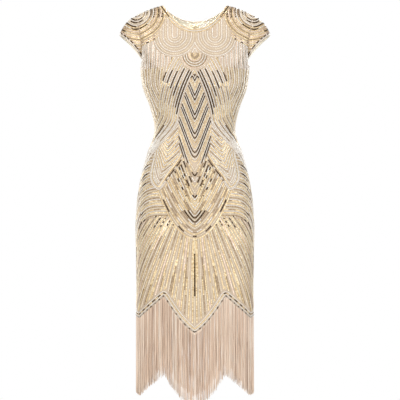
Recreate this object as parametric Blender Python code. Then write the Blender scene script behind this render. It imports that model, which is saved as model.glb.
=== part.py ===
"""Flapper dress with cap sleeves, a pointed hem and a long fringe, hollow as worn.

Metres, +Z up. The front of the dress faces -Y and the wearer's left side is +X.
The origin lies between the two high shoulder points, where the wearer's shoulders hold
the dress up, so every height below is a depth under the shoulders.
"""

import math

import bmesh
import bpy
import numpy as np
from mathutils import Matrix, Vector

# ---------------------------------------------------------------- driving sizes
WALL = 0.002  # beaded net and its lining together
THIN = 0.001  # one layer of lining, tape or label
SEAM_GAP = 0.0003
LAYER_GAP = 0.00045  # between layers that lie on each other

FRONT, BACK = -1, 1  # the side of the body, as the sign of Y
HALF_COLUMNS = 15  # from the centre line to a side seam
BODY_ROWS = 20  # from the hem to the underarm
ROW_CROWDING = 0.25  # 0 spaces those rows evenly, and more crowds them towards the top
YOKE_ROWS = 9  # from the underarm to the shoulder seam
YOKE_CROWDING = 1.6  # 1 spaces those rows evenly, and more crowds them towards the shoulder

SECTION_POWER = 2.2  # 2 is an ellipse, and more is squarer
# One row for each level of the body: height, half width, depth to the front and to the back.
SECTIONS = (
    ("hem", -0.960, 0.1710, 0.112, 0.112),
    ("knee", -0.850, 0.1685, 0.110, 0.112),
    ("thigh", -0.740, 0.1715, 0.112, 0.120),
    ("seat", -0.640, 0.1730, 0.112, 0.129),
    ("hip", -0.530, 0.1625, 0.108, 0.124),
    ("high_hip", -0.440, 0.1405, 0.100, 0.102),
    ("waist", -0.368, 0.1170, 0.088, 0.079),
    ("under_bust", -0.300, 0.1295, 0.102, 0.088),
    ("bust", -0.240, 0.1515, 0.116, 0.098),
    ("underarm", -0.178, 0.1595, 0.104, 0.098),
)
HALF_WIDTH, FRONT_DEPTH, BACK_DEPTH = 2, 3, 4
UNDERARM_Z = SECTIONS[-1][1]
# Two soft cups in the cut of the front.
CUP_X, CUP_Z = 0.078, -0.236
CUP_WIDTH, CUP_HEIGHT, CUP_RISE = 0.050, 0.055, 0.011

# Neck and shoulders. Pairs are X and Z.
NECK_HALF_WIDTH = 0.096
NECK_DROP = {FRONT: 0.080, BACK: 0.038}
NECK_ROUNDING = 2.1  # the power of the neck's curve as seen from the front
NECK_COLUMNS = 8  # of the HALF_COLUMNS, those that end on the neck edge
NECK_CROWDING = 0.85  # 0 spaces those columns evenly, and more crowds them towards the shoulder
SHOULDER_TIP = (0.173, -0.029)  # where the shoulder seam meets the sleeve
SHOULDER_ARCH = 0.003  # how far the shoulder seam arches over its straight line
SHOULDER_LINE_POWER = 0.937  # spreads the columns along the shoulder line

# The yoke is one dome, from the underarm level up to the shoulder line. The shoulder line
# goes on over the neck, and the neck is cut out of the dome. The way, and how firmly, the
# cloth leaves the underarm level and reaches the shoulder line: outward, back and up.
LEAVE_RISE = 0.120
ARMHOLE_FROM = 0.25  # from this share on the cloth starts to leave as it does at the armhole
LEAVE_ARMHOLE = (-0.050, -0.200, 0.060)
REACH_CENTRE = {FRONT: (0.0, 0.180, 0.0), BACK: (0.0, 0.240, 0.0)}
REACH_SHOULDER_TIP = (0.030, 0.205, 0.0)

# The hem's points and notches: share of the way from the centre to a side seam, height, and
# half turns of the wave that swings the points out and the notches in.
HEM_POINTS = (
    ("centre_point", 0.0, -0.950, 0.0),
    ("notch", 5 / 15, -0.848, 1.0),
    ("side_point", 11 / 15, -0.914, 2.0),
    ("side_seam", 1.0, -0.908, 2.3),
)
NOTCH_Z = HEM_POINTS[1][2]
HEM_ROUNDING = 1.15  # 1 is a straight zigzag, and more rounds its points
HEM_ZONE = 0.24  # the rows take up the zigzag within this height
HEM_FOLD = 0.004  # how far they swing
HEM_FOLD_TOP = -0.700

# Cap sleeves. Pairs are X and Z.
SLEEVE_ROWS = 5
SLEEVE_STRAIGHT = 0.12  # it runs straight on from the seam for this share of its length
SLEEVE_FROM = 1  # its ends leave free this many of the yoke's rows at the bottom
SLEEVE_TIP = (0.2215, -0.086)
SLEEVE_UNDER = (0.1540, -0.1620)  # where the hem would close under the arm
SLEEVE_DEPTH = 0.053  # the hem's half width from front to back
SLEEVE_HEM_TURN = math.radians(150)  # how far round the arm the hem goes from its tip
SLEEVE_MOST_FOLD = math.radians(85)  # against the body, at its ends
SLEEVE_HEM_BOW = 0.008  # the hem bows in towards the body by this much, halfway down
SLEEVE_SPRING = 0.75  # how firmly the cap leaves its seam, as a share of its length

# Fringe.
STRANDS_A_COLUMN = 4
STRAND_SHARE = 0.58  # of the pitch, and the rest is air
TAPE_HEIGHT = 0.006
FRINGE_LENGTH = 0.226
FRINGE_UNEVEN = 0.005
FRINGE_SWAY = 0.0005
FRINGE_LEVELS = (0.45, 1.0)  # a strand's one bend and its end, as shares of its length

# Neck binding, lining, label and zip.
BINDING_RADIUS = 0.0015
LINING_ROWS = 5  # yoke rows under the back neck that the lining spans
ZIP_TAPE_HALF = 0.011
ZIP_END_Z = -0.540
LABEL_SPAN = (0.0135, 0.0365)  # X, beside the zip tape
LABEL_ROWS = 3

# Zip slider and pull, in the slider's frame: X across, Y off the cloth, Z up along the seam.
SLIDER_BELOW_NECK = 0.013
SLIDER_HALF, SLIDER_LONG, SLIDER_THICK = 0.0031, 0.0100, 0.0020
EAR_INNER, EAR_OUTER, EAR_HALF = 0.0021, 0.0030, 0.0013
PIN_RADIUS, PIN_HEIGHT = 0.0006, 0.0020
EYE_RADIUS, EYE_HOLE, EYE_HALF = 0.0015, 0.00095, 0.0017
PULL_LONG, PULL_THICK, PULL_NECK, PULL_WIDE = 0.021, 0.0010, 0.0014, 0.0032
PULL_SHOULDER = 0.0032  # where the pull starts to widen
PULL_END_POINTS = 5  # on each half of its round end
ROD_SIDES = 16
PULL_LEAN = math.radians(7)  # its end leans in against the cloth

SHARP_ANGLE = math.radians(50)
# Colour, roughness and metallic value.
FINISHES = {
    "beaded_net": ((0.80, 0.66, 0.46), 0.45, 0.0),
    "lining": ((0.90, 0.79, 0.60), 0.60, 0.0),
    "binding": ((0.86, 0.74, 0.58), 0.50, 0.0),
    "fringe": ((0.78, 0.60, 0.46), 0.40, 0.0),
    "label": ((0.90, 0.88, 0.86), 0.50, 0.0),
    "zip_tape": ((0.86, 0.76, 0.62), 0.70, 0.0),
    "zip_metal": ((0.72, 0.58, 0.36), 0.30, 1.0),
}


# ---------------------------------------------------------------- curves and blends
def smooth(x):
    """0 below 0, 1 above 1, and an even S between."""
    x = np.clip(x, 0.0, 1.0)
    return x * x * (3 - 2 * x)


def blend(a, b, share):
    """Vectors a turned into b, by one share for each."""
    return a + (b - a) * np.asarray(share)[..., None]


def unit(vectors):
    return vectors / np.linalg.norm(vectors, axis=-1, keepdims=True)


def hermite(start, leave, end, reach, t):
    """The curve from start to end that sets off along leave and comes in along reach."""
    t = np.asarray(t, float)
    if np.ndim(start) > np.ndim(t):
        t = t[..., None]
    first = (2 * t**3 - 3 * t**2 + 1) * start + (t**3 - 2 * t**2 + t) * leave
    return first + (3 * t**2 - 2 * t**3) * end + (t**3 - t**2) * reach


def section(column, z):
    """One column of SECTIONS as a smooth curve over the height."""
    heights = np.array([row[1] for row in SECTIONS])
    values = np.array([row[column] for row in SECTIONS])
    slopes = np.gradient(values, heights)
    i = np.clip(np.searchsorted(heights, z) - 1, 0, len(heights) - 2)
    span = heights[i + 1] - heights[i]
    return hermite(values[i], span * slopes[i], values[i + 1], span * slopes[i + 1], (z - heights[i]) / span)


# ---------------------------------------------------------------- the body's cloth
def hem_height(u):
    """The hem's zigzag at share u of the way from the centre line to a side seam."""
    far = np.abs(u)
    _, shares, heights, _ = (np.array(column) for column in zip(*HEM_POINTS))
    i = np.clip(np.searchsorted(shares, far, side="right") - 1, 0, len(shares) - 2)
    along = (far - shares[i]) / (shares[i + 1] - shares[i])
    low, high = np.minimum(heights[i], heights[i + 1]), np.maximum(heights[i], heights[i + 1])
    from_low = np.where(heights[i] < heights[i + 1], along, 1 - along)
    return low + (high - low) * from_low**HEM_ROUNDING


def body_point(side, u, z):
    """The cloth at share u and height z, from the underarm down."""
    angle = np.abs(u) * math.pi / 2
    power = 2 / SECTION_POWER
    x = section(HALF_WIDTH, z) * np.sin(angle) ** power
    depth = section(FRONT_DEPTH if side == FRONT else BACK_DEPTH, z)
    depth = depth * np.abs(np.cos(angle)) ** power
    if side == FRONT:
        across, up = (x - CUP_X) / CUP_WIDTH, (z - CUP_Z) / CUP_HEIGHT
        depth = depth + CUP_RISE * np.exp(-(across**2) - up**2)
    _, shares, _, half_turns = zip(*HEM_POINTS)
    turns = np.interp(np.abs(u), shares, half_turns)
    fold = HEM_FOLD * np.cos(math.pi * turns) * smooth((HEM_FOLD_TOP - z) / HEM_ZONE)
    x = (x + fold * np.sin(angle)) * np.sign(u)
    y = side * (depth + fold * np.cos(angle) + SEAM_GAP / 2)
    return np.stack([x, y, z + 0 * x], -1)


def neck_line(side, x):
    """Height of the neck edge at x, as seen from the front."""
    return -NECK_DROP[side] * (1 - np.minimum(np.abs(x) / NECK_HALF_WIDTH, 1) ** NECK_ROUNDING)


def shoulder_line(side, u):
    """The shoulder seam, and its smooth continuation over the neck."""
    x = SHOULDER_TIP[0] * np.abs(u) ** SHOULDER_LINE_POWER
    run = SHOULDER_TIP[0] - NECK_HALF_WIDTH
    along = (x - NECK_HALF_WIDTH) / run
    seam = SHOULDER_TIP[1] * along + SHOULDER_ARCH * 4 * along * (1 - along)
    slope = (SHOULDER_TIP[1] + 4 * SHOULDER_ARCH) / run
    over_neck = slope * (x**2 - NECK_HALF_WIDTH**2) / (2 * NECK_HALF_WIDTH)
    return np.stack([np.sign(u) * x, side * SEAM_GAP / 2 + 0 * x, np.where(along > 0, seam, over_neck)], -1)


def heading(out_back_up, side, u):
    """A direction given as outward, back over the shoulder and up, at share u of this side."""
    out, back, up = out_back_up
    return np.stack([out * np.sign(u), -side * back + 0 * u, up + 0 * u], -1)


def dome_point(side, u, t):
    """The yoke's dome at share u, from the underarm level at t 0 to the shoulder line at t 1."""
    foot = body_point(side, u, UNDERARM_Z)
    step = 0.005
    rise = (foot - body_point(side, u, UNDERARM_Z - step)) / step * LEAVE_RISE
    leave = blend(rise, heading(LEAVE_ARMHOLE, side, u), smooth((np.abs(u) - ARMHOLE_FROM) / (1 - ARMHOLE_FROM)))
    centre, tip = heading(REACH_CENTRE[side], side, u), heading(REACH_SHOULDER_TIP, side, u)
    return hermite(foot, leave, shoulder_line(side, u), blend(centre, tip, np.abs(u)), t)


def cut_share(side, u):
    """The t at which the neck edge, or else the shoulder seam, cuts the dome."""
    low, high = np.zeros_like(u), np.ones_like(u)
    halvings = 40
    for _ in range(halvings):
        middle = (low + high) / 2
        point = dome_point(side, u, middle)
        inside = point[..., 2] < neck_line(side, point[..., 0])
        low, high = np.where(inside, middle, low), np.where(inside, high, middle)
    return np.where(np.abs(u) < yoke_share(NECK_COLUMNS) - 1e-6, low, 1.0)


def yoke_share(column):
    """The share u of a column above the underarm. Columns crowd towards the high shoulder point."""
    neck = (NECK_HALF_WIDTH / SHOULDER_TIP[0]) ** (1 / SHOULDER_LINE_POWER)
    far = np.abs(column)
    along = np.minimum(far / NECK_COLUMNS, 1)
    in_neck = neck * (along + NECK_CROWDING * (np.sin(along * math.pi / 2) - along))
    beyond = np.maximum(far - NECK_COLUMNS, 0) / (HALF_COLUMNS - NECK_COLUMNS) * (1 - neck)
    return np.sign(column) * (in_neck + beyond)


def facing(surface, side, u, v):
    """Unit normals of a surface, away from the body. u stays on this side of the seams."""
    step = 1e-4
    across = surface(side, np.minimum(u + step, 1), v) - surface(side, np.maximum(u - step, -1), v)
    up = surface(side, u, v + step) - surface(side, u, v - step)
    return unit(np.cross(across, up)) * -side


def panel(side, columns):
    """A body panel's points and normals: a row for each level from the hem up.

    Columns count from 0 at the centre line to HALF_COLUMNS at the left side seam. At the
    seams the normals lie in the plane of the cut, so that the walls meet face to face.
    """
    columns = np.asarray(columns, float)
    at_hem, at_yoke = columns / HALF_COLUMNS, yoke_share(columns)
    points, normals = [], []
    for k in range(BODY_ROWS):
        share = k / BODY_ROWS
        climb = share + ROW_CROWDING * share * (1 - share)
        level = NOTCH_Z + (UNDERARM_Z - NOTCH_Z) * climb
        hang = smooth(1 - (level - NOTCH_Z) / HEM_ZONE)
        u = at_hem + (at_yoke - at_hem) * smooth(climb)
        z = level + (hem_height(u) - NOTCH_Z) * hang
        points.append(body_point(side, u, z))
        normals.append(facing(body_point, side, u, z))
    top = cut_share(side, at_yoke)
    for k in range(YOKE_ROWS + 1):
        t = top * (1 - (1 - k / YOKE_ROWS) ** YOKE_CROWDING)
        points.append(dome_point(side, at_yoke, t))
        normals.append(facing(dome_point, side, at_yoke, t))
    points, normals = np.array(points), np.array(normals)
    normals[: BODY_ROWS + 1, np.abs(columns) == HALF_COLUMNS, 1] = 0
    normals[-1, np.abs(columns) >= NECK_COLUMNS, 1] = 0
    return points, unit(normals)


def all_columns():
    return np.arange(-HALF_COLUMNS, HALF_COLUMNS + 1)


def back_half(sign):
    """One half of the back, from its centre edge to its side seam."""
    points, normals = panel(BACK, sign * np.arange(HALF_COLUMNS + 1))
    points[:, 0, 0] = sign * SEAM_GAP / 2
    normals[:, 0, 0] = 0
    return points, unit(normals)


# ---------------------------------------------------------------- Blender objects
def clear_scene():
    for old in list(bpy.data.objects):
        bpy.data.objects.remove(old)


def finish(name):
    found = bpy.data.materials.get(name)
    if found:
        return found
    colour, roughness, metallic = FINISHES[name]
    made = bpy.data.materials.new(name)
    made.use_nodes = True
    shader = made.node_tree.nodes["Principled BSDF"]
    shader.inputs["Base Color"].default_value = (*colour, 1)
    shader.inputs["Roughness"].default_value = roughness
    shader.inputs["Metallic"].default_value = metallic
    return made


def add_object(collection, name, data, surface):
    data.materials.append(finish(surface))
    made = bpy.data.objects.new(name, data)
    collection.objects.link(made)
    return made


def cloth(collection, name, points, normals, thickness, surface):
    """A wall round a grid of points, with its rims along the given normals.

    Each cell is split along its shorter diagonal, alike on both faces of the wall.
    """
    rows, columns = points.shape[:2]
    count = rows * columns
    layers = [points + normals * (side * thickness / 2) for side in (1, -1)]
    places = points.reshape(-1, 3)
    faces = []
    for r in range(rows - 1):
        for c in range(columns - 1):
            a = r * columns + c
            cell = [a, a + 1, a + columns + 1, a + columns]
            rising, falling = (np.linalg.norm(places[cell[i]] - places[cell[i + 2]]) for i in (0, 1))
            if falling < rising:
                cell = cell[1:] + cell[:1]
            for corners in (cell[:3], [cell[0], *cell[2:]]):
                faces += [corners, [corner + count for corner in corners[::-1]]]
    bottom, top = list(range(columns)), list(range(count - columns, count))
    left, right = list(range(0, count, columns)), list(range(columns - 1, count, columns))
    for rim in (bottom[::-1], right[::-1], top, left):
        faces += [(b, a, a + count, b + count)[::-1] for a, b in zip(rim, rim[1:])]
    mesh = bpy.data.meshes.new(name)
    mesh.from_pydata(np.concatenate(layers).reshape(-1, 3).tolist(), [], faces)
    shape = bmesh.new()
    shape.from_mesh(mesh)
    bmesh.ops.recalc_face_normals(shape, faces=shape.faces)
    shape.to_mesh(mesh)
    shape.free()
    mesh.shade_smooth()
    mesh.set_sharp_from_angle(angle=SHARP_ANGLE)
    return add_object(collection, name, mesh, surface)


def mesh_from_bmesh(name, shape):
    bmesh.ops.recalc_face_normals(shape, faces=shape.faces)
    mesh = bpy.data.meshes.new(name)
    shape.to_mesh(mesh)
    shape.free()
    return mesh


# ---------------------------------------------------------------- panels and sleeves
def body_panels(collection):
    cloth(collection, "front", *panel(FRONT, all_columns()), WALL, "beaded_net")
    cloth(collection, "back_left", *back_half(1), WALL, "beaded_net")
    cloth(collection, "back_right", *back_half(-1), WALL, "beaded_net")


def armhole():
    """The stretch of the left armhole's edge that the sleeve is sewn to, from front to back.

    Gives its points, its direction, and the way out of the panel in the panel's own plane.
    """
    (front, front_face), (back, back_face) = (
        [layer[BODY_ROWS:, 0] for layer in panel(side, [HALF_COLUMNS])] for side in (FRONT, BACK)
    )
    edge = np.concatenate([front, back[-2::-1]])
    edge[len(front) - 1, 1] = 0
    run = unit(np.gradient(edge, axis=0))
    out = unit(np.cross(run, np.concatenate([front_face, back_face[-2::-1]])))
    sewn = slice(SLEEVE_FROM, len(edge) - SLEEVE_FROM)
    return edge[sewn], run[sewn], out[sewn]


def sleeve_grid():
    """The left cap sleeve's points and normals: a row on its seam and rows out to its hem."""
    edge, run, out = armhole()
    face = np.cross(out, run)
    walked = np.concatenate([[0], np.cumsum(np.linalg.norm(np.diff(edge, axis=0), axis=1))])
    along = walked / walked[-1] + np.linspace(0, 1, len(edge)) - 1
    turn = along * SLEEVE_HEM_TURN
    tip, under = np.array(SLEEVE_TIP), np.array(SLEEVE_UNDER)
    flat = (tip + under) / 2 + np.cos(turn)[:, None] * (tip - under) / 2
    bow = SLEEVE_HEM_BOW * np.sin(turn) ** 2
    hem = np.stack([flat[:, 0] - bow, SLEEVE_DEPTH * np.sin(turn), flat[:, 1]], -1)

    # Over the shoulder the sleeve runs straight on. Towards its ends it folds out at the seam,
    # and its wall moves off the panel's rim far enough to clear it.
    away = hem - edge
    fold = np.arctan2((away * face).sum(1), (away * out).sum(1)) * smooth(np.abs(along))
    fold = np.clip(fold, 0, SLEEVE_MOST_FOLD)[:, None]
    set_off = out * np.cos(fold) + face * np.sin(fold)
    seam = edge + out * SEAM_GAP + (out - face) * np.sin(fold) * WALL / 2
    length = np.linalg.norm(hem - seam, axis=1, keepdims=True)
    start = seam + set_off * length * SLEEVE_STRAIGHT
    leave = set_off * length * SLEEVE_SPRING
    reach = 2 * (hem - start) - leave
    rows = [hermite(start, leave, hem, reach, k / SLEEVE_ROWS) for k in range(SLEEVE_ROWS + 1)]
    points = np.array([seam, *rows])
    normals = unit(np.cross(np.gradient(points, axis=1), np.gradient(points, axis=0)))
    normals *= np.sign((normals[0] * face).sum())
    normals[0] = face * np.cos(fold) - out * np.sin(fold)
    return points, normals


def sleeves(collection):
    points, normals = sleeve_grid()
    cloth(collection, "sleeve_left", points, normals, WALL, "beaded_net")
    cloth(collection, "sleeve_right", points * (-1, 1, 1), normals * (-1, 1, 1), WALL, "beaded_net")


# ---------------------------------------------------------------- fringe
def fringe(collection, name, side):
    """A narrow tape under the hem with its strands, made as one body.

    The tape follows the wall's own straight hem edges. Its underside is split into
    stations, and every second stretch between stations runs on down as a strand.
    """
    points, normals = panel(side, all_columns())
    edge, normal = points[0], unit(normals[0] * (1, 1, 0))
    shape = bmesh.new()
    random = np.random.default_rng(BACK + side)

    def pair(point, out, below):
        """The outer and the inner vertex at one place along the tape."""
        middle = point - (0, 0, SEAM_GAP + below)
        return [shape.verts.new(middle + out * (s * WALL / 2)) for s in (1, -1)]

    air = (1 - STRAND_SHARE) / 2
    stations = [(k + s) / STRANDS_A_COLUMN for k in range(STRANDS_A_COLUMN) for s in (air, 1 - air)]
    tops = [pair(p, n, 0.0) for p, n in zip(edge, normal)]
    foot = pair(edge[0], normal[0], TAPE_HEIGHT)
    shape.faces.new((*tops[0], foot[1], foot[0]))
    for c in range(len(edge) - 1):
        feet = [foot]
        for share in stations:
            feet.append(pair(*(blend(a[c], a[c + 1], share) for a in (edge, normal)), TAPE_HEIGHT))
        foot = pair(edge[c + 1], normal[c + 1], TAPE_HEIGHT)
        feet.append(foot)
        half = len(feet) // 2
        for layer in range(2):
            near, far = tops[c][layer], tops[c + 1][layer]
            below = [f[layer] for f in feet]
            shape.faces.new((near, below[half], far))
            for k, (left, right) in enumerate(zip(below, below[1:])):
                shape.faces.new((near if k < half else far, left, right))
        shape.faces.new((*tops[c], *tops[c + 1][::-1]))
        for k, (left, right) in enumerate(zip(feet, feet[1:])):
            ring = (*left, *right[::-1])
            if k % 2 == 0:
                shape.faces.new(ring)
            else:
                hang_strand(shape, ring, random)
    shape.faces.new((*tops[-1], foot[1], foot[0]))
    add_object(collection, name, mesh_from_bmesh(name, shape), "fringe")


def hang_strand(shape, root, random):
    """A four-sided strand below one stretch of the tape."""
    length = FRINGE_LENGTH - TAPE_HEIGHT - FRINGE_UNEVEN * random.random()
    level = sum(corner.co.z for corner in root) / len(root)
    ring = root
    for share in FRINGE_LEVELS:
        sway_x, sway_y = random.uniform(-FRINGE_SWAY, FRINGE_SWAY, 2)
        z = level - length * share
        lower = [shape.verts.new((corner.co.x + sway_x, corner.co.y + sway_y, z)) for corner in root]
        for i in range(len(ring)):
            j = (i + 1) % len(ring)
            shape.faces.new((ring[i], ring[j], lower[j], lower[i]))
        ring = lower
    shape.faces.new(ring)


# ---------------------------------------------------------------- neck
def binding(collection, name, points, normals, ends):
    """A rolled edge on the top row of a panel, cut square to the seam at each of its ends.

    ends gives the way the neck edge runs through the seam at its first and last point.
    """
    run = unit(np.gradient(points[-1], axis=0))
    run[0], run[-1] = ends
    up = np.cross(run, normals[-1])
    up *= np.sign(up[:, 2].sum())
    path = points[-1] + unit(up) * (BINDING_RADIUS + SEAM_GAP)
    inner_ends = path[:1] + run[:1] * BINDING_RADIUS, path[-1:] - run[-1:] * BINDING_RADIUS
    path = np.concatenate([path[:1], inner_ends[0], path[1:-1], inner_ends[1], path[-1:]])
    curve = bpy.data.curves.new(name, "CURVE")
    curve.dimensions = "3D"
    curve.bevel_depth = BINDING_RADIUS
    curve.bevel_resolution = 2
    curve.use_fill_caps = True
    spline = curve.splines.new("POLY")
    spline.points.add(len(path) - 1)
    for place, point in zip(spline.points, path):
        place.co = (*point, 1)
    add_object(collection, name, curve, "binding")


def neck_bindings(collection):
    through_shoulder, through_back = (0, 1, 0), (1, 0, 0)
    front = panel(FRONT, np.arange(-NECK_COLUMNS, NECK_COLUMNS + 1))
    binding(collection, "neck_binding_front", *front, ((0, -1, 0), through_shoulder))
    for sign, name in ((1, "neck_binding_back_left"), (-1, "neck_binding_back_right")):
        points, normals = (layer[:, : NECK_COLUMNS + 1] for layer in back_half(sign))
        binding(collection, name, points, normals, (np.multiply(through_back, sign), (0, -1, 0)))


def inner_layer(sign, layers):
    """One half of the back, moved in from its wall to the middle of a thin layer there."""
    points, normals = back_half(sign)
    depth = WALL / 2 + LAYER_GAP + THIN / 2 + (layers - 1) * (THIN + LAYER_GAP)
    return points - normals * depth, normals


def cut_at_x(rows, x):
    """Points of the rows at one X, on the straight lines between their first two points."""
    share = (x - rows[:, 0, 0]) / (rows[:, 1, 0] - rows[:, 0, 0])
    return blend(rows[:, 0], rows[:, 1], share)


def neck_lining(collection):
    """The smooth lining that shows inside the back of the neck, one piece each side of the zip."""
    for sign, name in ((1, "back_lining_left"), (-1, "back_lining_right")):
        points, normals = (layer[-LINING_ROWS - 1 :, : NECK_COLUMNS + 1] for layer in inner_layer(sign, 1))
        points[:, 0] = cut_at_x(points, sign * (ZIP_TAPE_HALF + SEAM_GAP))
        cloth(collection, name, points, normals, THIN, "lining")


def neck_label(collection):
    """A bare woven label that hangs beside the zip, over the lining."""
    points, normals = (layer[-LABEL_ROWS - 1 : -1] for layer in inner_layer(1, 2))
    label = [[[x, np.interp(x, row[:, 0], row[:, 1]), np.interp(x, row[:, 0], row[:, 2])] for x in LABEL_SPAN]
             for row in points]
    cloth(collection, "neck_label", np.array(label), normals[:, 1:3], THIN, "label")


# ---------------------------------------------------------------- zip
def zip_tape(collection):
    """The closed zip's tape, inside the back seam from the neck to the hip."""
    points, normals = inner_layer(1, 1)
    kept = points[:, 0, 2] > ZIP_END_Z
    kept[-1] = False
    points, normals = points[kept], normals[kept, 0]
    edge = cut_at_x(points, ZIP_TAPE_HALF)
    tape = np.stack([edge * (-1, 1, 1), points[:, 0] * (0, 1, 1), edge], axis=1)
    cloth(collection, "zip_tape", tape, np.stack([normals] * 3, axis=1), THIN, "zip_tape")


def box(name, low, high):
    shape = bmesh.new()
    size, centre = Vector(high) - Vector(low), (Vector(high) + Vector(low)) / 2
    bmesh.ops.create_cube(shape, size=1.0, matrix=Matrix.Translation(centre) @ Matrix.Diagonal((*size, 1)))
    return mesh_from_bmesh(name, shape)


def rod(name, radius, half_length, y=0.0):
    """A cylinder along X."""
    shape = bmesh.new()
    size = {"segments": ROD_SIDES, "radius1": radius, "radius2": radius, "depth": 2 * half_length}
    place = Matrix.Translation((0, y, 0)) @ Matrix.Rotation(math.pi / 2, 4, "Y")
    bmesh.ops.create_cone(shape, cap_ends=True, matrix=place, **size)
    return mesh_from_bmesh(name, shape)


def combine(target, operation, tool_mesh, cutters):
    """Joins a hidden helper to the target, or cuts the target with it, in the target's place."""
    tool = bpy.data.objects.new(f"{target.name}_{tool_mesh.name}", tool_mesh)
    cutters.objects.link(tool)
    tool.hide_render = True
    tool.display_type = "WIRE"
    tool.parent = target.parent
    tool.location = target.location
    tool.rotation_euler = target.rotation_euler
    modifier = target.modifiers.new(tool_mesh.name, "BOOLEAN")
    modifier.operation = operation
    modifier.object = tool


def pull_mesh():
    """A flat tab that widens below its eye and ends round."""
    end_centre = PULL_WIDE - PULL_LONG
    side = [(PULL_NECK, 0.0), (PULL_NECK, -PULL_SHOULDER)]
    for turn in np.linspace(0, math.pi / 2, PULL_END_POINTS):
        side.append((PULL_WIDE * math.cos(turn), end_centre - PULL_WIDE * math.sin(turn)))
    outline = side + [(-x, z) for x, z in side[-2::-1]]
    shape = bmesh.new()
    face = shape.faces.new([shape.verts.new((x, -PULL_THICK / 2, z)) for x, z in outline])
    raised = bmesh.ops.extrude_face_region(shape, geom=[face])["geom"]
    moved = [part for part in raised if isinstance(part, bmesh.types.BMVert)]
    bmesh.ops.translate(shape, verts=moved, vec=(0, PULL_THICK, 0))
    return mesh_from_bmesh("tab", shape)


def zip_hardware(collection, cutters):
    """The slider at the top of the closed zip, and its pull on the slider's pin."""
    seam = panel(BACK, [0])[0][BODY_ROWS:, 0]
    level = seam[-1, 2] - SLIDER_BELOW_NECK
    below, above = (np.interp(level + s * SLIDER_LONG / 2, seam[:, 2], seam[:, 1]) for s in (-1, 1))
    place = bpy.data.objects.new("zip_place", None)
    collection.objects.link(place)
    place.location = (0, (below + above) / 2, level)
    place.rotation_euler = (math.atan2(below - above, SLIDER_LONG), 0, 0)

    foot = WALL / 2 + 2 * LAYER_GAP
    face = foot + SLIDER_THICK
    pin_y = face + PIN_HEIGHT
    body = box("body", (-SLIDER_HALF, foot, -SLIDER_LONG / 2), (SLIDER_HALF, face, SLIDER_LONG / 2))
    slider = add_object(collection, "zip_slider", body, "zip_metal")
    slider.parent = place
    sunk = SLIDER_THICK / 4
    for name, near, far in (("ear_left", EAR_INNER, EAR_OUTER), ("ear_right", -EAR_OUTER, -EAR_INNER)):
        ear = box(name, (near, face - sunk, -EAR_HALF), (far, pin_y + EAR_HALF, EAR_HALF))
        combine(slider, "UNION", ear, cutters)
    combine(slider, "UNION", rod("pin", PIN_RADIUS, (EAR_INNER + EAR_OUTER) / 2, pin_y), cutters)

    pull = add_object(collection, "zip_pull", pull_mesh(), "zip_metal")
    pull.parent = place
    pull.location = (0, pin_y, 0)
    pull.rotation_euler = (-PULL_LEAN, 0, 0)
    combine(pull, "UNION", rod("eye", EYE_RADIUS, EYE_HALF), cutters)
    combine(pull, "DIFFERENCE", rod("eye_hole", EYE_HOLE, 2 * EYE_HALF), cutters)


# ---------------------------------------------------------------- the dress
def main():
    clear_scene()
    dress = bpy.data.collections.new("flapper_dress")
    cutters = bpy.data.collections.new("cutters")
    for made in (dress, cutters):
        bpy.context.scene.collection.children.link(made)
    body_panels(dress)
    sleeves(dress)
    fringe(dress, "fringe_front", FRONT)
    fringe(dress, "fringe_back", BACK)
    neck_bindings(dress)
    neck_lining(dress)
    neck_label(dress)
    zip_tape(dress)
    zip_hardware(dress, cutters)


main()
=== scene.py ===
"""Looks of the flapper dress: net, beadwork, fringe, lining, label, neck edge and zip.

Metres, +Z up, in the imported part's own frame. The front of the dress faces -Y, the
wearer's left side is +X, and the origin lies between the two high shoulder points.
"""

import math
from types import SimpleNamespace

import bpy
import numpy as np
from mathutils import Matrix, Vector

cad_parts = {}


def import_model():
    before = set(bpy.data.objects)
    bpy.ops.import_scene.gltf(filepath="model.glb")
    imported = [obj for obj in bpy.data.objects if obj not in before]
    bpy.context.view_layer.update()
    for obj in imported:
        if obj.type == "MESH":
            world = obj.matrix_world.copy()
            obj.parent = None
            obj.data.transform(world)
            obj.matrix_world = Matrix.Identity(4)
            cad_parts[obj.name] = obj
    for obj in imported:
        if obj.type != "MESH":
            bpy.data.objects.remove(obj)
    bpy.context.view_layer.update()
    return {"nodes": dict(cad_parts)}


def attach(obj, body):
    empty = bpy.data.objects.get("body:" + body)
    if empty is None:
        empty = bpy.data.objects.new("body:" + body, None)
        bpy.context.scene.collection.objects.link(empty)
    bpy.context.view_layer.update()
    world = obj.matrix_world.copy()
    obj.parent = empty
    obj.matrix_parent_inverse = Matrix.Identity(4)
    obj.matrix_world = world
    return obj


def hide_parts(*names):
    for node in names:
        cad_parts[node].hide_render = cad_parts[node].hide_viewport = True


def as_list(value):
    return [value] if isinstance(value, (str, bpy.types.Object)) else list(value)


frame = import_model()

# ---------------------------------------------------------------- sizes of the solids
WALL, THIN = 0.002, 0.001
SEAM_GAP, LAYER_GAP = 0.0003, 0.00045
FRONT, BACK = -1, 1
HALF_COLUMNS, BODY_ROWS, YOKE_ROWS = 15, 20, 9
ROW_CROWDING, YOKE_CROWDING = 0.25, 1.6

SECTION_POWER = 2.2
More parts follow.
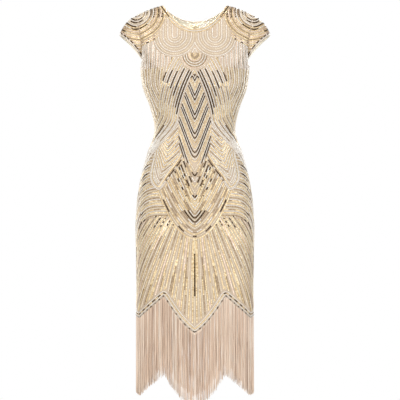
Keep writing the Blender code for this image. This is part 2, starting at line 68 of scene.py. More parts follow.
# One row for each level of the body: height, half width, depth to the front and to the back.
SECTIONS = (
    ("hem", -0.960, 0.1710, 0.112, 0.112),
    ("knee", -0.850, 0.1685, 0.110, 0.112),
    ("thigh", -0.740, 0.1715, 0.112, 0.120),
    ("seat", -0.640, 0.1730, 0.112, 0.129),
    ("hip", -0.530, 0.1625, 0.108, 0.124),
    ("high_hip", -0.440, 0.1405, 0.100, 0.102),
    ("waist", -0.368, 0.1170, 0.088, 0.079),
    ("under_bust", -0.300, 0.1295, 0.102, 0.088),
    ("bust", -0.240, 0.1515, 0.116, 0.098),
    ("underarm", -0.178, 0.1595, 0.104, 0.098),
)
HEIGHT, HALF_WIDTH, FRONT_DEPTH, BACK_DEPTH = 1, 2, 3, 4
UNDERARM_Z = SECTIONS[-1][HEIGHT]
CUP_X, CUP_Z = 0.078, -0.236
CUP_WIDTH, CUP_HEIGHT, CUP_RISE = 0.050, 0.055, 0.011

NECK_HALF_WIDTH, NECK_ROUNDING = 0.096, 2.1
NECK_DROP = {FRONT: 0.080, BACK: 0.038}
NECK_COLUMNS, NECK_CROWDING = 8, 0.85
SHOULDER_TIP = (0.173, -0.029)
SHOULDER_ARCH, SHOULDER_LINE_POWER = 0.003, 0.937
LEAVE_RISE, LEAVE_STEP = 0.120, 0.005
ARMHOLE_FROM = 0.25
LEAVE_ARMHOLE = (-0.050, -0.200, 0.060)
REACH_CENTRE = {FRONT: (0.0, 0.180, 0.0), BACK: (0.0, 0.240, 0.0)}
REACH_SHOULDER_TIP = (0.030, 0.205, 0.0)

# Share of the way from the centre to a side seam, height, and half turns of the hem's wave.
HEM_POINTS = (
    ("centre_point", 0.0, -0.950, 0.0),
    ("notch", 5 / 15, -0.848, 1.0),
    ("side_point", 11 / 15, -0.914, 2.0),
    ("side_seam", 1.0, -0.908, 2.3),
)
NOTCH_Z = HEM_POINTS[1][2]
HEM_ROUNDING, HEM_ZONE = 1.15, 0.24
HEM_FOLD, HEM_FOLD_TOP = 0.004, -0.700

SLEEVE_STRAIGHT, SLEEVE_FROM = 0.12, 1
SLEEVE_TIP, SLEEVE_UNDER = (0.2215, -0.086), (0.1540, -0.1620)
SLEEVE_DEPTH, SLEEVE_HEM_BOW, SLEEVE_SPRING = 0.053, 0.008, 0.75
SLEEVE_HEM_TURN, SLEEVE_MOST_FOLD = math.radians(150), math.radians(85)

TAPE_HEIGHT = 0.006
FRINGE_LENGTH, FRINGE_UNEVEN = 0.226, 0.014
BINDING_RADIUS = 0.0015
LINING_ROWS = 5
ZIP_TAPE_HALF, ZIP_END_Z = 0.011, -0.540
LABEL_SPAN, LABEL_ROWS = (0.0135, 0.0365), 3

# ---------------------------------------------------------------- sizes of the looks
COLUMN_STEP, ROW_STEP = 1 / 5, 1 / 6  # of the solids' columns and rows, on the fine grids
YOKE_FROM = round(BODY_ROWS / ROW_STEP)  # the fine row at the underarm
ONE_ROW = round(1 / ROW_STEP)  # fine rows in one row of the solids
YOKE_TURN = 1.6  # how soon up the yoke the distance round the body gives way to X
SLEEVE_STEPS = 24
SHELL_SKIP = 2  # the shells take every second line of the fine grids
SHELL_HALF = 0.0007  # half the shells' thickness
SEWN_GAP = 0.00002  # half the gap between two shells where their seam is sewn
# Half the thickness of the fringe's heading, of the lining, and of the label and the tape.
HEADING_HALF, LINING_HALF, TRIM_HALF = 0.0003, THIN * 0.4, THIN * 0.35

# Soft creases of the front and the back: place along the cloth and height, half length and
# half width, lean off the level, rise (below 0 is a trough), and the other side's share.
CREASES = {
    FRONT: (
        ("waist_side", 0.128, -0.372, 0.046, 0.0085, 9, -0.0017, 0.8),
        ("under_waist", 0.104, -0.396, 0.052, 0.0090, 14, 0.0011, 1.2),
        ("over_waist", 0.140, -0.346, 0.038, 0.0080, -12, -0.0012, 1.1),
        ("underarm", 0.168, -0.212, 0.044, 0.0100, -38, -0.0018, 0.7),
        ("armhole", 0.150, -0.176, 0.036, 0.0090, -55, 0.0012, 1.0),
        ("hip", 0.150, -0.478, 0.060, 0.0130, 24, -0.0013, 1.1),
        ("lap", 0.046, -0.612, 0.058, 0.0150, 6, -0.0010, 0.6),
        ("thigh", 0.112, -0.760, 0.090, 0.0120, 84, -0.0017, 0.8),
        ("knee", 0.050, -0.820, 0.070, 0.0110, 93, 0.0013, 1.2),
        ("hem_side", 0.196, -0.800, 0.085, 0.0125, 88, -0.0016, 1.1),
    ),
    BACK: (
        ("waist_side", 0.118, -0.366, 0.050, 0.0090, 7, -0.0018, 1.1),
        ("small_of_back", 0.046, -0.388, 0.044, 0.0085, 10, -0.0014, 0.8),
        ("over_waist", 0.132, -0.338, 0.042, 0.0080, -15, 0.0012, 0.9),
        ("underarm", 0.160, -0.208, 0.046, 0.0100, -40, -0.0017, 1.2),
        ("shoulder_blade", 0.092, -0.196, 0.052, 0.0120, -30, -0.0011, 0.7),
        ("seat_side", 0.150, -0.560, 0.064, 0.0140, 28, -0.0013, 0.9),
        ("thigh", 0.094, -0.745, 0.095, 0.0130, 86, -0.0018, 1.1),
        ("knee", 0.034, -0.815, 0.068, 0.0115, 91, 0.0014, 0.8),
        ("hem_side", 0.182, -0.805, 0.080, 0.0125, 94, -0.0015, 1.2),
    ),
}
CREASE_BOW, CREASE_FALL = 0.5, 1.4
CREASE_SHIFT = (0.012, 0.02)  # a weaker or stronger crease on the other side lies off by this
SEAM_PULL = 0.018  # creases fade out this near the centre back and the side seams
HEM_PULL, NECK_PULL = 14, 18  # and this many fine rows from the hem and the neck
# Creases of a sleeve: place along its seam, half width and rise.
SLEEVE_CREASES = ((-0.52, 0.10, -0.0012), (-0.18, 0.09, 0.0008), (0.26, 0.10, -0.0010), (0.60, 0.08, 0.0009))


# ---------------------------------------------------------------- curves and blends
def smooth(x):
    """0 below 0, 1 above 1, and an even S between."""
    x = np.clip(x, 0.0, 1.0)
    return x * x * (3 - 2 * x)


def blend(a, b, share):
    return a + (b - a) * np.asarray(share)[..., None]


def unit(vectors):
    return vectors / np.maximum(np.linalg.norm(vectors, axis=-1, keepdims=True), 1e-12)


def walk(points):
    """The distance walked along a line of points, at each of them."""
    return np.concatenate([[0], np.cumsum(np.linalg.norm(np.diff(points, axis=0), axis=1))])


def at_stops(stops, walked, values):
    """Each column of values, read at the stops of a walk."""
    return np.stack([np.interp(stops, walked, column) for column in values.T], -1)


def hermite(start, leave, end, reach, t):
    """The curve from start to end that sets off along leave and comes in along reach."""
    t = np.asarray(t, float)
    if np.ndim(start) > np.ndim(t):
        t = t[..., None]
    first = (2 * t**3 - 3 * t**2 + 1) * start + (t**3 - 2 * t**2 + t) * leave
    return first + (3 * t**2 - 2 * t**3) * end + (t**3 - t**2) * reach


def section(column, z):
    """One column of SECTIONS as a smooth curve over the height."""
    heights, values = (np.array([row[k] for row in SECTIONS]) for k in (HEIGHT, column))
    slopes = np.gradient(values, heights)
    i = np.clip(np.searchsorted(heights, z) - 1, 0, len(heights) - 2)
    span = heights[i + 1] - heights[i]
    share = (z - heights[i]) / span
    return hermite(values[i], span * slopes[i], values[i + 1], span * slopes[i + 1], share)


# ---------------------------------------------------------------- the body's cloth, as in the solids
def hem_height(u):
    far = np.abs(u)
    _, shares, heights, _ = (np.array(column) for column in zip(*HEM_POINTS))
    i = np.clip(np.searchsorted(shares, far, side="right") - 1, 0, len(shares) - 2)
    along = (far - shares[i]) / (shares[i + 1] - shares[i])
    low, high = np.minimum(heights[i], heights[i + 1]), np.maximum(heights[i], heights[i + 1])
    from_low = np.where(heights[i] < heights[i + 1], along, 1 - along)
    return low + (high - low) * from_low**HEM_ROUNDING


def body_point(side, u, z):
    """The cloth at share u and height z, from the underarm down."""
    angle = np.abs(u) * math.pi / 2
    power = 2 / SECTION_POWER
    x = section(HALF_WIDTH, z) * np.sin(angle) ** power
    depth = section(FRONT_DEPTH if side == FRONT else BACK_DEPTH, z)
    depth = depth * np.abs(np.cos(angle)) ** power
    if side == FRONT:
        across, up = (x - CUP_X) / CUP_WIDTH, (z - CUP_Z) / CUP_HEIGHT
        depth = depth + CUP_RISE * np.exp(-(across**2) - up**2)
    _, shares, _, half_turns = zip(*HEM_POINTS)
    turns = np.interp(np.abs(u), shares, half_turns)
    fold = HEM_FOLD * np.cos(math.pi * turns) * smooth((HEM_FOLD_TOP - z) / HEM_ZONE)
    x = (x + fold * np.sin(angle)) * np.sign(u)
    y = side * (depth + fold * np.cos(angle) + SEAM_GAP / 2)
    return np.stack([x, y, z + 0 * x], -1)


def neck_line(side, x):
    return -NECK_DROP[side] * (1 - np.minimum(np.abs(x) / NECK_HALF_WIDTH, 1) ** NECK_ROUNDING)


def shoulder_line(side, u):
    """The shoulder seam, and its smooth continuation over the neck."""
    x = SHOULDER_TIP[0] * np.abs(u) ** SHOULDER_LINE_POWER
    run = SHOULDER_TIP[0] - NECK_HALF_WIDTH
    along = (x - NECK_HALF_WIDTH) / run
    seam = SHOULDER_TIP[1] * along + SHOULDER_ARCH * 4 * along * (1 - along)
    slope = (SHOULDER_TIP[1] + 4 * SHOULDER_ARCH) / run
    over_neck = slope * (x**2 - NECK_HALF_WIDTH**2) / (2 * NECK_HALF_WIDTH)
    y = side * SEAM_GAP / 2 + 0 * x
    return np.stack([np.sign(u) * x, y, np.where(along > 0, seam, over_neck)], -1)


def heading(out_back_up, side, u):
    out, back, up = out_back_up
    return np.stack([out * np.sign(u), -side * back + 0 * u, up + 0 * u], -1)


def dome_point(side, u, t):
    """The yoke's dome at share u, from the underarm level at t 0 to the shoulder line at t 1."""
    foot = body_point(side, u, UNDERARM_Z)
    rise = (foot - body_point(side, u, UNDERARM_Z - LEAVE_STEP)) / LEAVE_STEP * LEAVE_RISE
    beyond = smooth((np.abs(u) - ARMHOLE_FROM) / (1 - ARMHOLE_FROM))
    leave = blend(rise, heading(LEAVE_ARMHOLE, side, u), beyond)
    centre, tip = heading(REACH_CENTRE[side], side, u), heading(REACH_SHOULDER_TIP, side, u)
    return hermite(foot, leave, shoulder_line(side, u), blend(centre, tip, np.abs(u)), t)


def cut_share(side, u):
    """The t at which the neck edge, or else the shoulder seam, cuts the dome."""
    low, high = np.zeros_like(u), np.ones_like(u)
    halvings = 40
    for _ in range(halvings):
        middle = (low + high) / 2
        point = dome_point(side, u, middle)
        inside = point[..., 2] < neck_line(side, point[..., 0])
        low, high = np.where(inside, middle, low), np.where(inside, high, middle)
    return np.where(np.abs(u) < yoke_share(NECK_COLUMNS) - 1e-6, low, 1.0)


def yoke_share(column):
    neck = (NECK_HALF_WIDTH / SHOULDER_TIP[0]) ** (1 / SHOULDER_LINE_POWER)
    far = np.abs(column)
    along = np.minimum(far / NECK_COLUMNS, 1)
    in_neck = neck * (along + NECK_CROWDING * (np.sin(along * math.pi / 2) - along))
    beyond = np.maximum(far - NECK_COLUMNS, 0) / (HALF_COLUMNS - NECK_COLUMNS) * (1 - neck)
    return np.sign(column) * (in_neck + beyond)


def panel_points(side, columns):
    """Fine rows of a body panel from the hem up, at the given columns of the solids' grid."""
    columns = np.asarray(columns, float)
    at_hem, at_yoke = columns / HALF_COLUMNS, yoke_share(columns)
    points = []
    for share in np.arange(0, 1, ROW_STEP / BODY_ROWS)[:YOKE_FROM]:
        climb = share + ROW_CROWDING * share * (1 - share)
        level = NOTCH_Z + (UNDERARM_Z - NOTCH_Z) * climb
        hang = smooth(1 - (level - NOTCH_Z) / HEM_ZONE)
        u = at_hem + (at_yoke - at_hem) * smooth(climb)
        points.append(body_point(side, u, level + (hem_height(u) - NOTCH_Z) * hang))
    top = cut_share(side, at_yoke)
    for share in np.linspace(0, 1, round(YOKE_ROWS / ROW_STEP) + 1):
        points.append(dome_point(side, at_yoke, top * (1 - (1 - share) ** YOKE_CROWDING)))
    return np.array(points)


def fine_columns(first, last):
    return np.linspace(first, last, round(abs(last - first) / COLUMN_STEP) + 1)


# ---------------------------------------------------------------- cloth as fine grids
def grid_normals(points):
    across, up = np.gradient(points, axis=1), np.gradient(points, axis=0)
    return unit(np.cross(across, up))


class Cloth:
    """A piece of cloth as a fine grid of points. Outward is the sign of its outer side's normals."""

    def __init__(self, name, points, outward, along=None):
        self.name, self.points, self.outward, self.along = name, points, outward, along

    def normals(self):
        return grid_normals(self.points) * self.outward

    def read(self, values, places):
        """Values of the grid at places between its points, given as rows and columns."""
        rows, columns = self.points.shape[:2]
        i = np.clip(places[:, 0].astype(int), 0, rows - 2)
        j = np.clip(places[:, 1].astype(int), 0, columns - 2)
        down, over = places[:, 0] - i, places[:, 1] - j
        if values.ndim == 3:
            down, over = down[:, None], over[:, None]
        low = values[i, j] * (1 - over) + values[i, j + 1] * over
        high = values[i + 1, j] * (1 - over) + values[i + 1, j + 1] * over
        return low * (1 - down) + high * down


def around(points):
    """Distance along the cloth from the centre line, positive on the left, for each grid point."""
    level = np.linalg.norm(np.diff(points[:, :, :2], axis=1), axis=2)
    run = np.concatenate([np.zeros((len(points), 1)), np.cumsum(level, axis=1)], axis=1)
    x = points[:, :, 0]
    middle = np.argmin(np.abs(x), axis=1)
    run = run - np.take_along_axis(run, middle[:, None], axis=1)
    if x[0, -1] < x[0, 0]:
        run = -run
    under = run[YOKE_FROM] - x[YOKE_FROM]
    climb = (np.arange(len(points)) - YOKE_FROM) / (len(points) - 1 - YOKE_FROM)
    share = smooth(climb * YOKE_TURN)[:, None]
    return np.where(share > 0, x + under * (1 - share), run)


def creased(points, side, along):
    """The panel's points with its soft creases, which leave its edges where they are."""
    normals = grid_normals(points) * -side * np.sign(points[0, -1, 0] - points[0, 0, 0])
    z = points[:, :, 2]
    rise = np.zeros_like(z)
    for _, at, height, length, width, lean, most, other in CREASES[side]:
        turn = math.radians(lean)
        for sign, share in ((1, 1.0), (-1, other)):
            right = sign * along - at - CREASE_SHIFT[0] * (share - 1)
            up = z - height - CREASE_SHIFT[1] * (share - 1)
            run = (right * math.cos(turn) + up * math.sin(turn)) / length
            off = (up * math.cos(turn) - right * math.sin(turn)) / width
            bow = off - CREASE_BOW * run**2
            rise += most * share * np.exp(-(run**2) * CREASE_FALL - bow**2)
    rows = np.arange(len(points))[:, None]
    free = smooth(rows / HEM_PULL) * smooth((len(points) - 1 - rows) / NECK_PULL)
    side_run = np.abs(along).max(axis=1, keepdims=True) - np.abs(along)
    free = free * smooth(side_run / SEAM_PULL)
    if side == BACK:
        free *= smooth(np.abs(along) / SEAM_PULL)
    return points + normals * (rise * free)[:, :, None]


def body_panel(name, side, first, last):
    points = panel_points(side, fine_columns(first, last))
    if first == 0:
        points[:, 0, 0] = np.sign(last) * SEAM_GAP / 2
    along = around(points)
    points = creased(points, side, along)
    sewn = np.arange(len(points)) <= YOKE_FROM
    for edge in (0, -1) if first < 0 else (-1,):
        points[sewn, edge, 1] = side * SEWN_GAP
    if first == 0:
        points[points[:, 0, 2] < ZIP_END_Z, 0, 0] = np.sign(last) * SEWN_GAP
    return Cloth(name, points, -side * np.sign(last - first), along)


def sleeve_cloth(name, sign):
    """A cap sleeve: a row on its seam and rows out to its hem, as in the solids."""
    (front, front_face), (back, back_face) = (
        [layer[YOKE_FROM:, 0] for layer in edge_layers(side)] for side in (FRONT, BACK)
    )
    edge = np.concatenate([front, back[-2::-1]])
    edge[len(front) - 1, 1] = 0
    run = unit(np.gradient(edge, axis=0))
    out = unit(np.cross(run, np.concatenate([front_face, back_face[-2::-1]])))
    free = round(SLEEVE_FROM / ROW_STEP)
    edge, run, out = (rows[free : len(rows) - free] for rows in (edge, run, out))
    face = np.cross(out, run)
    walked = walk(edge)
    along = walked / walked[-1] + np.linspace(0, 1, len(edge)) - 1
    turn = along * SLEEVE_HEM_TURN
    tip, under = np.array(SLEEVE_TIP), np.array(SLEEVE_UNDER)
    flat = (tip + under) / 2 + np.cos(turn)[:, None] * (tip - under) / 2
    bow = SLEEVE_HEM_BOW * np.sin(turn) ** 2
    hem = np.stack([flat[:, 0] - bow, SLEEVE_DEPTH * np.sin(turn), flat[:, 1]], -1)
    away = hem - edge
    fold = np.arctan2((away * face).sum(1), (away * out).sum(1)) * smooth(np.abs(along))
    fold = np.clip(fold, 0, SLEEVE_MOST_FOLD)[:, None]
    set_off = out * np.cos(fold) + face * np.sin(fold)
    seam = edge + out * SEAM_GAP + (out - face) * np.sin(fold) * WALL / 2
    length = np.linalg.norm(hem - seam, axis=1, keepdims=True)
    start = seam + set_off * length * SLEEVE_STRAIGHT
    leave = set_off * length * SLEEVE_SPRING
    reach = 2 * (hem - start) - leave
    rows = [hermite(start, leave, hem, reach, t) for t in np.linspace(0, 1, SLEEVE_STEPS + 1)]
    made = Cloth(name, np.array([seam, *rows]), 1.0)
    made.outward = np.sign((made.normals()[1] * face).sum())
    share = np.linspace(0, 1, len(made.points))[:, None]
    rise = np.zeros(made.points.shape[:2])
    for at, width, most in SLEEVE_CREASES:
        rise += most * np.exp(-(((along[None] - at) / width) ** 2)) * np.sin(math.pi * share) ** 2
    made.points = made.points + made.normals() * rise[:, :, None]
    if sign < 0:
        made.points = made.points * (-1, 1, 1)
        made.outward = -made.outward
    return made


def edge_layers(side):
    """The left armhole's edge on one panel, and the panel's normals there."""
    near = HALF_COLUMNS - COLUMN_STEP / 50
    points = panel_points(side, [HALF_COLUMNS, near])
    across, up = points[:, :1] - points[:, 1:], np.gradient(points[:, :1], axis=0)
    up[YOKE_FROM] = points[YOKE_FROM + 1, :1] - points[YOKE_FROM, :1]
    return points[:, :1], unit(np.cross(across, up)) * -side


# ---------------------------------------------------------------- mesh building
def add_object(name, data):
    made = bpy.data.objects.new(name, data)
    bpy.context.scene.collection.objects.link(made)
    return made


def new_mesh(name, points, faces, *materials, material_of_face=None):
    """A smooth mesh object from points and faces of one size, given as arrays."""
    mesh = bpy.data.meshes.new(name)
    points, faces = np.asarray(points, float), np.asarray(faces, int)
    corners = faces.shape[1]
    mesh.vertices.add(len(points))
    mesh.vertices.foreach_set("co", points.ravel())
    mesh.loops.add(faces.size)
    mesh.loops.foreach_set("vertex_index", faces.ravel())
    mesh.polygons.add(len(faces))
    mesh.polygons.foreach_set("loop_start", np.arange(0, faces.size, corners))
    mesh.polygons.foreach_set("loop_total", np.full(len(faces), corners))
    if material_of_face is not None:
        mesh.polygons.foreach_set("material_index", material_of_face)
    mesh.update(calc_edges=True)
    mesh.shade_smooth()
    for surface in materials:
        mesh.materials.append(surface)
    return add_object(name, mesh)


def grid_faces(rows, columns):
    start = np.arange(rows - 1)[:, None] * columns + np.arange(columns - 1)
    return np.stack([start, start + 1, start + columns + 1, start + columns], -1).reshape(-1, 4)


def tube_faces(index):
    """Faces between rings of points, one ring a row, that close round the rings."""
    after = np.roll(index, -1, axis=1)
    return np.stack([index[:-1], after[:-1], after[1:], index[1:]], -1).reshape(-1, 4)


def wall(name, points, normals, half, outer, inner):
    """A thin closed wall round a grid, with one material outside and another inside."""
    rows, columns = points.shape[:2]
    count = rows * columns
    both = np.concatenate([(points + normals * side * half).reshape(-1, 3) for side in (1, -1)])
    skin = grid_faces(rows, columns)
    index = np.arange(count).reshape(rows, columns)
    rims = [np.stack([rim[:-1], rim[1:], rim[1:] + count, rim[:-1] + count], -1)
            for rim in (index[0, ::-1], index[::-1, -1], index[-1], index[:, 0])]
    faces = np.concatenate([skin, skin[:, ::-1] + count, *rims])
    inside = np.arange(len(faces)) // len(skin) == 1
    if np.cross(points[0, 1] - points[0, 0], points[1, 0] - points[0, 0]) @ normals[0, 0] < 0:
        faces = faces[:, ::-1]
    made = new_mesh(name, both, faces, outer, inner, material_of_face=inside.astype(int))
    made.data.set_sharp_from_angle(angle=math.radians(50))
    return made


def scatter(name, centres, along, out, template, surface, size=1.0):
    """Copies of a small shape, points and faces, set along a run and facing out, as one mesh."""
    points, faces = template
    side = unit(np.cross(out, along))
    ahead = unit(np.cross(side, out))
    axes = np.stack([ahead, side, out], axis=1)
    placed = centres[:, None] + points[None] * np.reshape(size, (-1, 1, 1)) @ axes
    places = (np.arange(len(centres)) * len(points))[:, None, None] + faces[None]
    return new_mesh(name, placed.reshape(-1, 3), places.reshape(-1, faces.shape[1]), surface)


# ---------------------------------------------------------------- materials
class Paint:
    """A Principled material whose colour comes from a ramp, for a pattern to drive."""

    def __init__(self, name, places, colours, roughness, metallic=0.0, sheen=0.0, coat=0.0, specular=0.5):
        self.made = bpy.data.materials.new(name)
        self.made.use_nodes = True
        self.nodes, self.links = self.made.node_tree.nodes, self.made.node_tree.links
        self.shader = self.nodes["Principled BSDF"]
        levels = {"Roughness": roughness, "Metallic": metallic, "Sheen Weight": sheen,
                  "Coat Weight": coat, "Specular IOR Level": specular}
        for socket, level in levels.items():
            self.shader.inputs[socket].default_value = level
        self.ramp = self.node("ValToRGB")
        steps = self.ramp.color_ramp.elements
        while len(steps) < len(colours):
            steps.new(0.5)
        for step, place, colour in zip(steps, places, colours):
            step.position = place
            step.color = (*colour, 1)
        self.links.new(self.ramp.outputs["Color"], self.shader.inputs["Base Color"])

    def node(self, kind, **inputs):
        """A new node. Each input takes a value, or the output that is linked to it."""
        made = self.nodes.new("ShaderNode" + kind)
        for name, value in inputs.items():
            self.feed(made.inputs[name], value)
        return made

    def feed(self, socket, value):
        if isinstance(value, bpy.types.NodeSocket):
            self.links.new(value, socket)
        else:
            socket.default_value = value

    def place(self, scale=(1, 1, 1), turn=(0, 0, 0)):
        """Places on the object, scaled and turned."""
        there = self.node("TexCoord").outputs["Object"]
        return self.node("Mapping", Scale=scale, Rotation=turn, Vector=there).outputs["Vector"]

    def noise(self, scale, detail=3.0, stretch=(1, 1, 1)):
        vector = self.place(stretch)
        return self.node("TexNoise", Scale=scale, Detail=detail, Vector=vector).outputs["Fac"]

    def wave(self, pitch, direction, turn=0.0):
        """Even threads at a pitch, which may slant about Y."""
        made = self.node("TexWave", Scale=WAVE_SCALE / pitch, Vector=self.place(turn=(0, turn, 0)))
        made.bands_direction = direction
        return made.outputs["Fac"]

    def math(self, operation, a, b):
        made = self.nodes.new("ShaderNodeMath")
        made.operation = operation
        for socket, value in zip(made.inputs, (a, b)):
            self.feed(socket, value)
        return made.outputs["Value"]

    def colour(self, first, share, second):
        """Colours by a mix of two patterns, of which the first has this share."""
        parts = self.math("MULTIPLY", first, share), self.math("MULTIPLY", second, 1 - share)
        self.links.new(self.math("ADD", *parts), self.ramp.inputs["Fac"])

    def each_piece(self):
        """A number that differs from one loose bead or strand to the next."""
        return self.node("NewGeometry").outputs["Random Per Island"]

    def bump(self, height, strength, distance):
        made = self.node("Bump", Strength=strength, Distance=distance, Height=height)
        self.links.new(made.outputs["Normal"], self.shader.inputs["Normal"])


WAVE_SCALE = 0.32  # a wave of scale 0.32 / pitch has about one thread each pitch
NET_TURN, TWIST_TURN = math.radians(32), math.radians(40)
TWIST_PITCH = WAVE_SCALE / 260
PLAIN = (0.3, 0.7)  # places on the ramp of two shades
THREE = (0.2, 0.6, 0.9)


def net_material(name, places, colours, pitch):
    """Fine net over a lining: two slanting sets of threads, and slow changes of colour."""
    paint = Paint(name, places, colours, 0.62, sheen=0.25)
    net = paint.math("MAXIMUM", *(paint.wave(pitch, "Z", turn) for turn in (NET_TURN, -NET_TURN)))
    paint.colour(net, 0.55, paint.noise(24))
    paint.bump(net, 0.5, 0.0004)
    return paint.made


def woven_material(name, dark, light, pitch, roughness, bump=0.35):
    """Plain woven cloth: warp and weft, and slow changes of colour."""
    paint = Paint(name, PLAIN, (dark, light), roughness, sheen=0.2)
    weave = paint.math("MULTIPLY", paint.wave(pitch, "X"), paint.wave(pitch, "Z"))
    paint.colour(weave, 0.3, paint.noise(30))
    paint.bump(weave, bump, 0.0002)
    return paint.made


def bead_material(name, places, colours, roughness, metallic, **finish):
    """Small glass or metal pieces that differ a little from one to the next."""
    paint = Paint(name, places, colours, roughness, metallic, **finish)
    paint.colour(paint.each_piece(), 0.6, paint.noise(9, 2.0))
    paint.bump(paint.noise(900, 1.0), 0.12, 0.0003)
    return paint.made


def fringe_material():
    """Silky twisted strands, each of its own tone, with painted highlights and painted shade picked at
    random from strand to strand.
    """
    # The darkest colour is painted shade for the gaps between strands and the lightest a painted highlight
    # for their sheen; the middle two are the silk's own tone.
    colours = ((0.44, 0.29, 0.21), (0.77, 0.57, 0.43), (0.88, 0.69, 0.54), (1.0, 0.90, 0.78))
    paint = Paint("silk_fringe", (0.25, 0.40, 0.58, 0.75), colours, 0.42, sheen=0.3)
    # Random strands and vertical streaks pick lighter and darker shades: partly the strands' own tone,
    # partly painted highlight and painted shade.
    paint.colour(paint.each_piece(), 0.55, paint.noise(260, 2.0, (1, 1, 0.04)))
    paint.bump(paint.wave(TWIST_PITCH, "Z", TWIST_TURN), 0.35, 0.0002)
    return paint.made


def brass_material():
    paint = Paint("light_brass", PLAIN, ((0.66, 0.50, 0.27), (0.80, 0.66, 0.42)), 0.28, metallic=1.0)
    paint.links.new(paint.noise(400), paint.ramp.inputs["Fac"])
    paint.bump(paint.noise(3000, 2.0, (1, 1, 0.1)), 0.1, 0.0001)
    return paint.made


NET_COLOURS = ((0.32, 0.23, 0.155), (0.52, 0.405, 0.295), (0.68, 0.555, 0.43))
NET = net_material("beige_net", (0.2, 0.5, 0.85), NET_COLOURS, 0.0014)
SATIN = woven_material("cream_satin", (0.99, 0.93, 0.79), (1.0, 0.97, 0.87), 0.0005, 0.42, 0.15)
TAPE = woven_material("zip_tape_weave", (0.76, 0.66, 0.50), (0.86, 0.76, 0.60), 0.0008, 0.7)
LABEL = woven_material("bare_label_weave", (0.86, 0.82, 0.78), (0.95, 0.93, 0.90), 0.0005, 0.5, 0.2)
BINDING = woven_material("bias_satin", (0.78, 0.65, 0.49), (0.90, 0.80, 0.64), 0.0006, 0.45)
THREAD = woven_material("sewing_thread", (0.80, 0.70, 0.55), (0.92, 0.84, 0.70), 0.0004, 0.6)
FRINGE, BRASS = fringe_material(), brass_material()
GOLD_COLOURS = ((0.56, 0.39, 0.19), (0.75, 0.57, 0.32), (0.86, 0.69, 0.42), (0.95, 0.85, 0.62))
PINK_COLOURS = ((0.72, 0.54, 0.41), (0.84, 0.67, 0.54), (0.94, 0.83, 0.72))
DARK_COLOURS = ((0.040, 0.022, 0.010), (0.090, 0.053, 0.026), (0.23, 0.155, 0.085))
BROWN_COLOURS = ((0.27, 0.18, 0.10), (0.43, 0.31, 0.18), (0.60, 0.46, 0.30))
PALE_COLOURS = ((0.93, 0.88, 0.79), (0.97, 0.95, 0.90), (0.99, 0.98, 0.96))
IVORY_COLOURS = ((0.84, 0.72, 0.52), (0.92, 0.83, 0.65), (0.96, 0.90, 0.76))
SILVER_COLOURS = ((0.62, 0.60, 0.56), (0.88, 0.86, 0.82), (0.98, 0.97, 0.95))
BEADS = {
    "gold": bead_material("champagne_sequins", (0.15, 0.4, 0.65, 0.9), GOLD_COLOURS, 0.36, 0.35),
    "pink": bead_material("rose_beige_sequins", (0.2, 0.5, 0.85), PINK_COLOURS, 0.36, 0.3),
    "dark": bead_material("bronze_sequins", THREE, DARK_COLOURS, 0.42, 0.1, specular=0.12),
    "brown": bead_material("tan_sequins", THREE, BROWN_COLOURS, 0.40, 0.2, specular=0.35),
    "pale": bead_material("pale_bugles", THREE, PALE_COLOURS, 0.22, 0.0, coat=0.3),
    "ivory": bead_material("ivory_bugles", THREE, IVORY_COLOURS, 0.24, 0.0, coat=0.3),
    "silver": bead_material("silver_beads", THREE, SILVER_COLOURS, 0.2, 0.5, coat=0.2),
}
KINDS = tuple(BEADS)
GOLD, PINK, DARK, BROWN, PALE, IVORY, SILVER = range(len(KINDS))
BARE = -1  # a line left out, where the net shows

# ---------------------------------------------------------------- beadwork: how it is drawn
SEQUINS, BUGLES, ROUND = (GOLD, PINK, DARK, BROWN), (PALE, IVORY), (SILVER,)
PITCHES = ((SEQUINS, 0.0033), (BUGLES, 0.0055), (ROUND, 0.0028))
SEQUIN_RADIUS, SEQUIN_CUP, SEQUIN_LIFT = 0.0020, 0.0005, 0.0006
BUGLE_LONG, BUGLE_WIDE = 0.0050, 0.0021
BEAD_RADIUS = 0.0013
KIND_SIZE = {BROWN: 0.86, DARK: 1.12}
UNEVEN, SEQUIN_LEAN, BUGLE_TURN = 0.05, 0.12, 0.03
EDGE_MARGIN = 0.0018  # lines stop this short of a neighbouring figure
NEAR = 0.004  # lines are looked for this far outside their figure
ZIP_CLEAR, SEAM_CLEAR = 0.0046, 0.0012  # the nearest that beads come to the zip and the side seams
ON_LINE = 1e-5  # keeps a line off the grid's own points


def contours(field, wanted):
    """Lines where the field is 0, as (row, column) places, through cells near wanted points."""
    above = field > 0
    level, upright = above[:, 1:] != above[:, :-1], above[1:] != above[:-1]
    columns = field.shape[1]
    index = np.arange(field.size).reshape(field.shape) * 2
    near = wanted[1:, 1:] | wanted[1:, :-1] | wanted[:-1, 1:] | wanted[:-1, :-1]
    flags = np.stack([level[:-1], upright[:, 1:], level[1:], upright[:, :-1]], -1) & near[..., None]
    names = np.stack([index[:-1, :-1], index[:-1, 1:] + 1, index[1:, :-1], index[:-1, :-1] + 1], -1)
    ends = names[flags].reshape(-1, 2).tolist()
    joined = {}
    for number, pair in enumerate(ends):
        for end in pair:
            joined.setdefault(end, []).append(number)
    used = [False] * len(ends)
    flat = field.ravel()

    def place(name):
        """Where a cell's side is crossed. Even names lie along a row, odd ones up a column."""
        cell, over = name >> 1, columns if name & 1 else 1
        share = flat[cell] / (flat[cell] - flat[cell + over])
        row, column = divmod(cell, columns)
        return (row + share, column) if name & 1 else (row, column + share)

    starts = [n for n, pair in enumerate(ends) if any(len(joined[end]) == 1 for end in pair)]
    for first in starts + list(range(len(ends))):
        if used[first]:
            continue
        a, b = ends[first]
        if len(joined[b]) == 1:
            a, b = b, a
        chain, following = [a, b], [first]
        while following:
            used[following[0]] = True
            following = [n for n in joined[chain[-1]] if not used[n]]
            if following:
                c, d = ends[following[0]]
                chain.append(d if c == chain[-1] else c)
        yield np.array([place(name) for name in chain])


